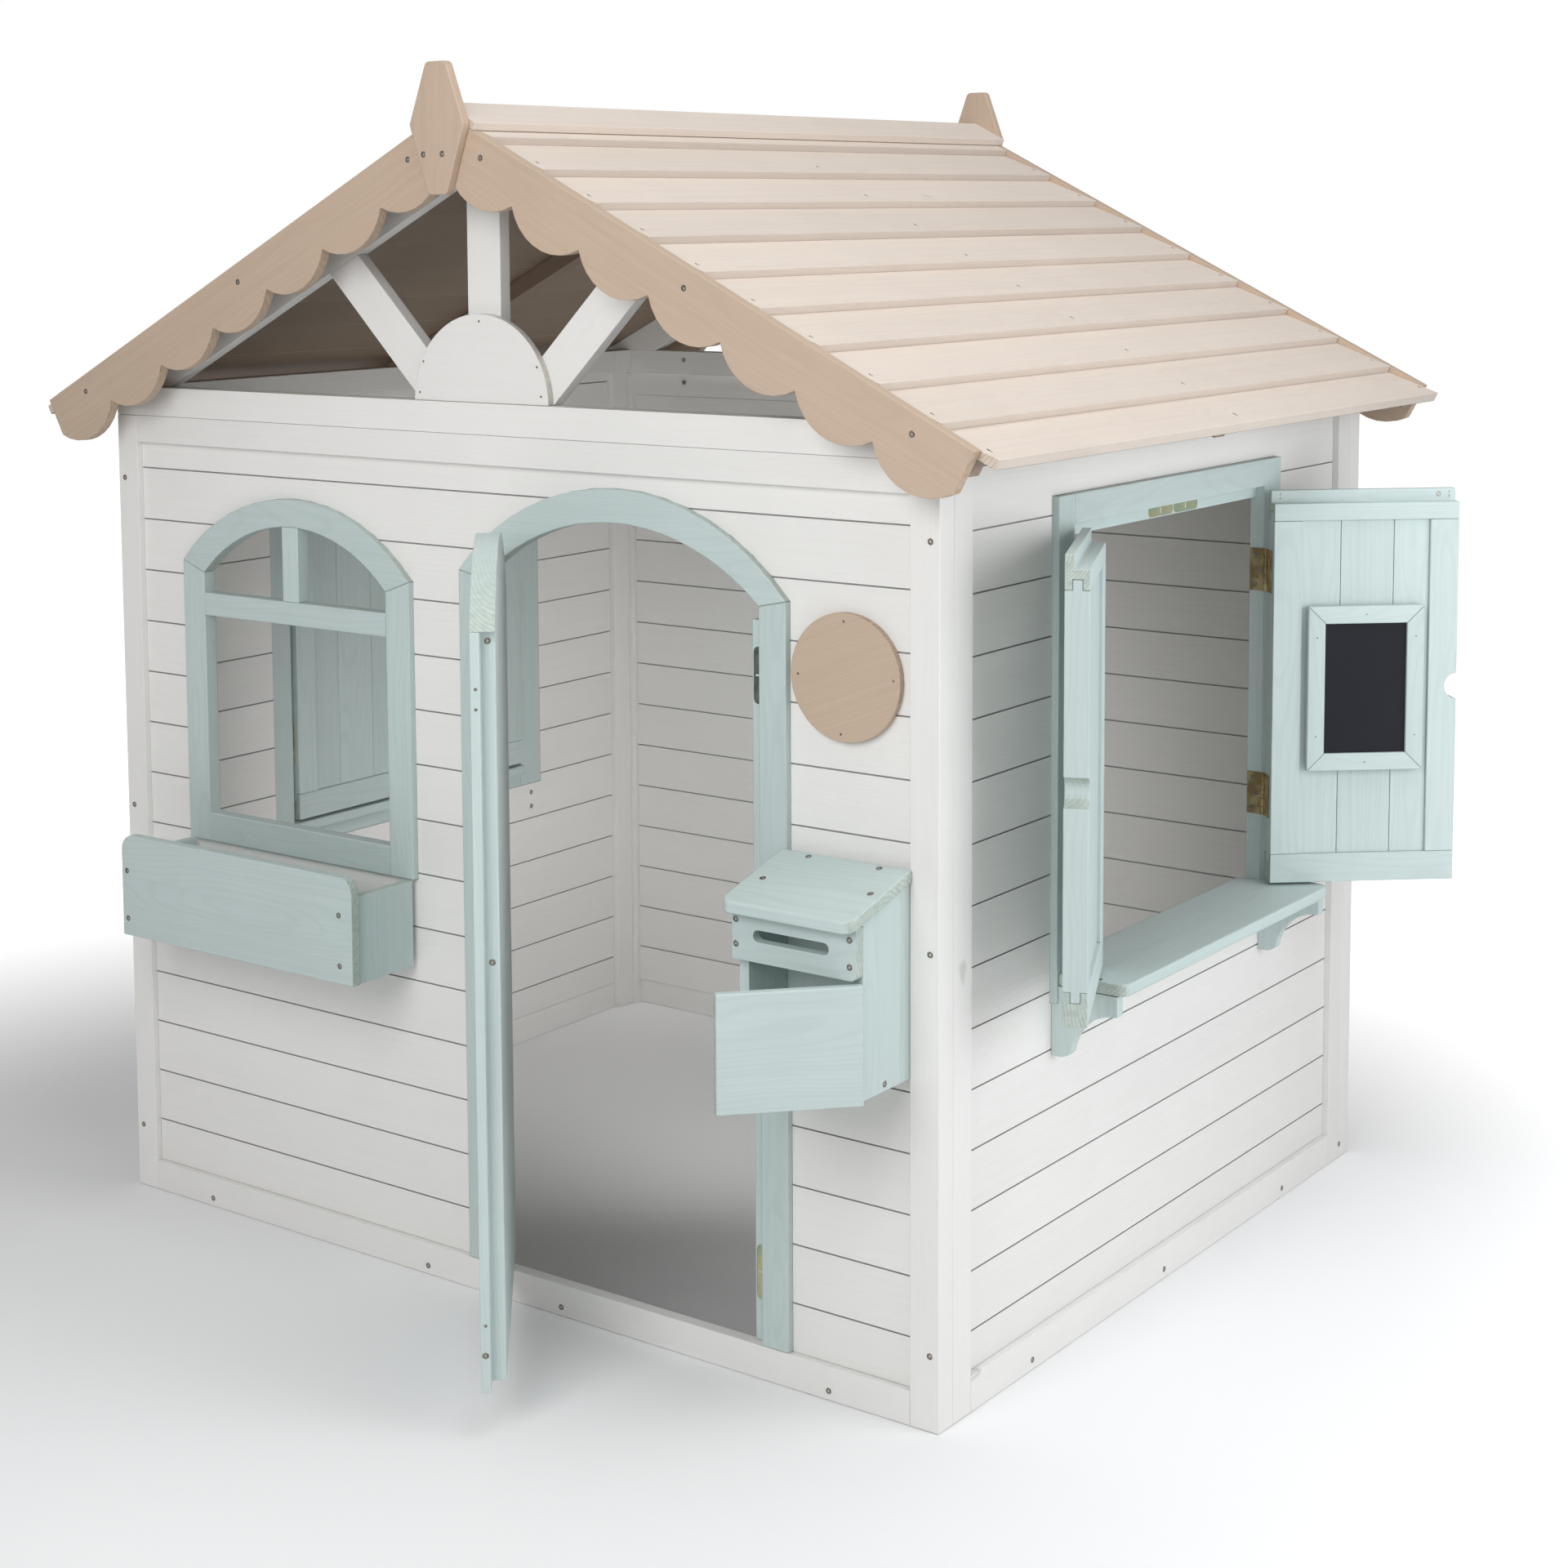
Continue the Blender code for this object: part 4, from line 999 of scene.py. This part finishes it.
hinge_spots = []
for prefix, side in (("right", 1), ("left", -1)):
    for place, edge, way in (("near", OPENING_Y[0], 1), ("far", OPENING_Y[1], -1)):
        for level_name, level in (("upper", 875.0), ("lower", 577.0)):

            def plan(u, v, side=side, edge=edge, way=way):
                return (side * (HALF_W + u), edge + way * v)

            stem = f"{prefix}_{place}_hinge_{level_name}"
            hinge_spots += butt_hinge(stem, f"leaf_{prefix}_shutter_{place}", plan, level)
for level_name, level in (("upper", 812.0), ("lower", 212.0)):
    hinge_spots += butt_hinge(f"door_hinge_{level_name}", "leaf_door", lambda u, v: (0.3 + v, -u), level)
fixings("screws_hinges", "house", hinge_spots, turned(2.9, 0.3))


def catch_plate(origin, along, up, out, length, width):
    """A strap with rounded ends and a pressed slot, on the face that out leaves."""
    half = length / 2.0 - width / 2.0
    outline = arc((half, 0.0), width / 2.0, -90, 90, 6) + arc((-half, 0.0), width / 2.0, 90, 270, 6)
    slot_hole = [(-1.2, -width * 0.28), (1.2, -width * 0.28), (1.2, width * 0.28), (-1.2, width * 0.28)]
    bm = prism(outline, "Z", 0.0, 1.5, [slot_hole])
    along, up, out = Vector(along), Vector(up), Vector(out)
    basis = Matrix((along, up, out)).transposed().to_4x4()
    bm.transform(Matrix.Translation(origin) @ basis)
    return bm


catches, catch_spots = [], []
for side in (1, -1):
    for y in (531.5, 598.5):
        seat = (side * 642.85, y, 978.0)
        catches.append(catch_plate(seat, (0, 1, 0), (0, 0, side), (side, 0, 0), 66.0, 13.0))
        for dy in (-28.0, 28.0):
            catch_spots.append(((side * 643.87, y + dy, 978.0), (side, 0, 0)))
door_catches, door_catch_spots = [], []
for group, spots_of, z in ((door_catches, door_catch_spots, 824.0), (catches, catch_spots, 123.0)):
    group.append(catch_plate((407.5, 12.65, z), (0, 0, 1), (1, 0, 0), (0, -1, 0), 66.0, 12.0))
    for dz in (-26.0, 26.0):
        spots_of.append(((407.5, 11.65, z + dz), FRONT))
plate_piece("catch_plates", "house", catches, ZINC)
plate_piece("door_catch_plate", "house", door_catches, DARK_STEEL)
fixings("screws_catches", "house", catch_spots, turned(3.2, 0.5), ZINC)
fixings("screws_door_catch", "house", door_catch_spots, turned(3.6, 0.5), BRIGHT_STEEL)

border_spots = [(y, z) for y in (743.0, 612.0) for z in (660.0, 790.0)] + [(678.0, 625.0), (678.0, 820.0)]
border_nails = [((618.7, y, z), LEFTWARD) for y, z in border_spots]
fixings("nails_blackboard", "leaf_right_shutter_far", border_nails, lambda rng: disc_head(1.1, 0.25))

# ----------------------------------------------------------------------- camera, light and floor


def set_camera():
    azimuth, elevation, roll = 0.650, 0.099, -0.008
    level = math.cos(elevation)
    back = Vector((math.sin(azimuth) * level, -math.cos(azimuth) * level, math.sin(elevation)))
    right = Vector((0.0, 0.0, 1.0)).cross(back).normalized()
    up = back.cross(right)
    right2 = math.cos(roll) * right + math.sin(roll) * up
    up2 = -math.sin(roll) * right + math.cos(roll) * up
    data = bpy.data.cameras.new("camera")
    data.lens = 61.26
    data.sensor_width = 36.0
    data.shift_x = 0.0625
    data.shift_y = -0.196
    camera = bpy.data.objects.new("camera", data)
    bpy.context.scene.collection.objects.link(camera)
    turn = Matrix((right2, up2, back)).transposed().to_4x4()
    camera.matrix_world = Matrix.Translation((2.153, -2.427, 1.348)) @ turn
    bpy.context.scene.camera = camera


def add_light(name, place, target, size, power, spread=180.0, colour=(1.0, 1.0, 1.0)):
    data = bpy.data.lights.new(name, "AREA")
    data.shape = "DISK"
    data.size = size
    data.energy = power
    data.spread = math.radians(spread)
    data.color = colour
    light = bpy.data.objects.new(name, data)
    light.location = place
    light.rotation_euler = (Vector(target) - Vector(place)).to_track_quat("-Z", "Y").to_euler()
    light.visible_camera = False
    bpy.context.scene.collection.objects.link(light)


def set_world():
    """White to the camera, dimmer as a light."""
    scene = bpy.context.scene
    scene.view_settings.view_transform = "Standard"
    world = bpy.data.worlds.new("studio")
    world.use_nodes = True
    tree = world.node_tree
    lit = tree.nodes["Background"]
    lit.inputs[1].default_value = 0.40
    seen = tree.nodes.new("ShaderNodeBackground")
    for background in (lit, seen):
        background.inputs[0].default_value = (1.0, 1.0, 1.0, 1.0)
    choice = tree.nodes.new("ShaderNodeMixShader")
    tree.links.new(tree.nodes.new("ShaderNodeLightPath").outputs["Is Camera Ray"], choice.inputs[0])
    tree.links.new(lit.outputs[0], choice.inputs[1])
    tree.links.new(seen.outputs[0], choice.inputs[2])
    tree.links.new(choice.outputs[0], tree.nodes["World Output"].inputs[0])
    scene.world = world


def set_lights():
    add_light("side", (2.05, 0.40, 1.0), (0.66, 0.45, 1.0), 1.4, 14.4, colour=(0.95, 0.975, 1.0))
    add_light("top", (1.2, 0.2, 3.6), (0.4, 0.5, 1.0), 2.2, 32.5)
    add_light("front", (0.75, -2.1, 1.85), (0.1, 0.1, 0.95), 1.6, 32.0)
    add_light("inside", (0.30, 0.22, 0.50), (-0.45, 0.95, 0.45), 0.3, 1.55, spread=125.0)


def set_floor():
    """A pale floor, with a painted shadow just inside the doorway, that fades to white away from the house."""
    mesh = bpy.data.meshes.new("floor")
    bm = bmesh.new()
    bmesh.ops.create_grid(bm, x_segments=1, y_segments=1, size=14.0)
    bm.transform(Matrix.Translation((0.0, 0.0, -0.0005)))
    bm.to_mesh(mesh)
    bm.free()
    floor = bpy.data.objects.new("floor", mesh)
    bpy.context.scene.collection.objects.link(floor)
    material, tree, shader = new_material("studio_floor")
    place = node(tree, "ShaderNodeTexCoord").outputs["Object"]
    soft = noise(tree, place, 1.5, 2.0)
    tone = mixed(tree, soft, (0.84, 0.84, 0.85), (0.87, 0.87, 0.875))
    across = tree.nodes.new("ShaderNodeSeparateXYZ")
    tree.links.new(place, across.inputs[0])
    # Painted shadow: inside the doorway the floor is drawn darker, most at the front wall.
    indoors = maths(tree, "LESS_THAN", maths(tree, "ABSOLUTE", across.outputs["X"]), 0.62)
    indoors = maths(tree, "MULTIPLY", indoors, maths(tree, "GREATER_THAN", across.outputs["Y"], 0.0))
    doorway_painted_shadow = maths(tree, "MULTIPLY", ramp(tree, across.outputs["Y"], 0.62, 0.02), indoors)
    tree.links.new(mixed(tree, doorway_painted_shadow, tone, (0.50, 0.50, 0.505)), shader.inputs["Base Color"])
    shader.inputs["Roughness"].default_value = 0.85
    reach = tree.nodes.new("ShaderNodeVectorMath")
    reach.operation = "LENGTH"
    tree.links.new(place, reach.inputs[0])
    glow = ramp(tree, reach.outputs["Value"], 0.9, 2.4)
    seen_glow = maths(tree, "MULTIPLY", glow, tree.nodes.new("ShaderNodeLightPath").outputs["Is Camera Ray"])
    shader.inputs["Emission Color"].default_value = (1.0, 1.0, 1.0, 1.0)
    tree.links.new(maths(tree, "MULTIPLY", seen_glow, 0.75), shader.inputs["Emission Strength"])
    mesh.materials.append(material)


set_camera()
set_world()
set_lights()
set_floor()
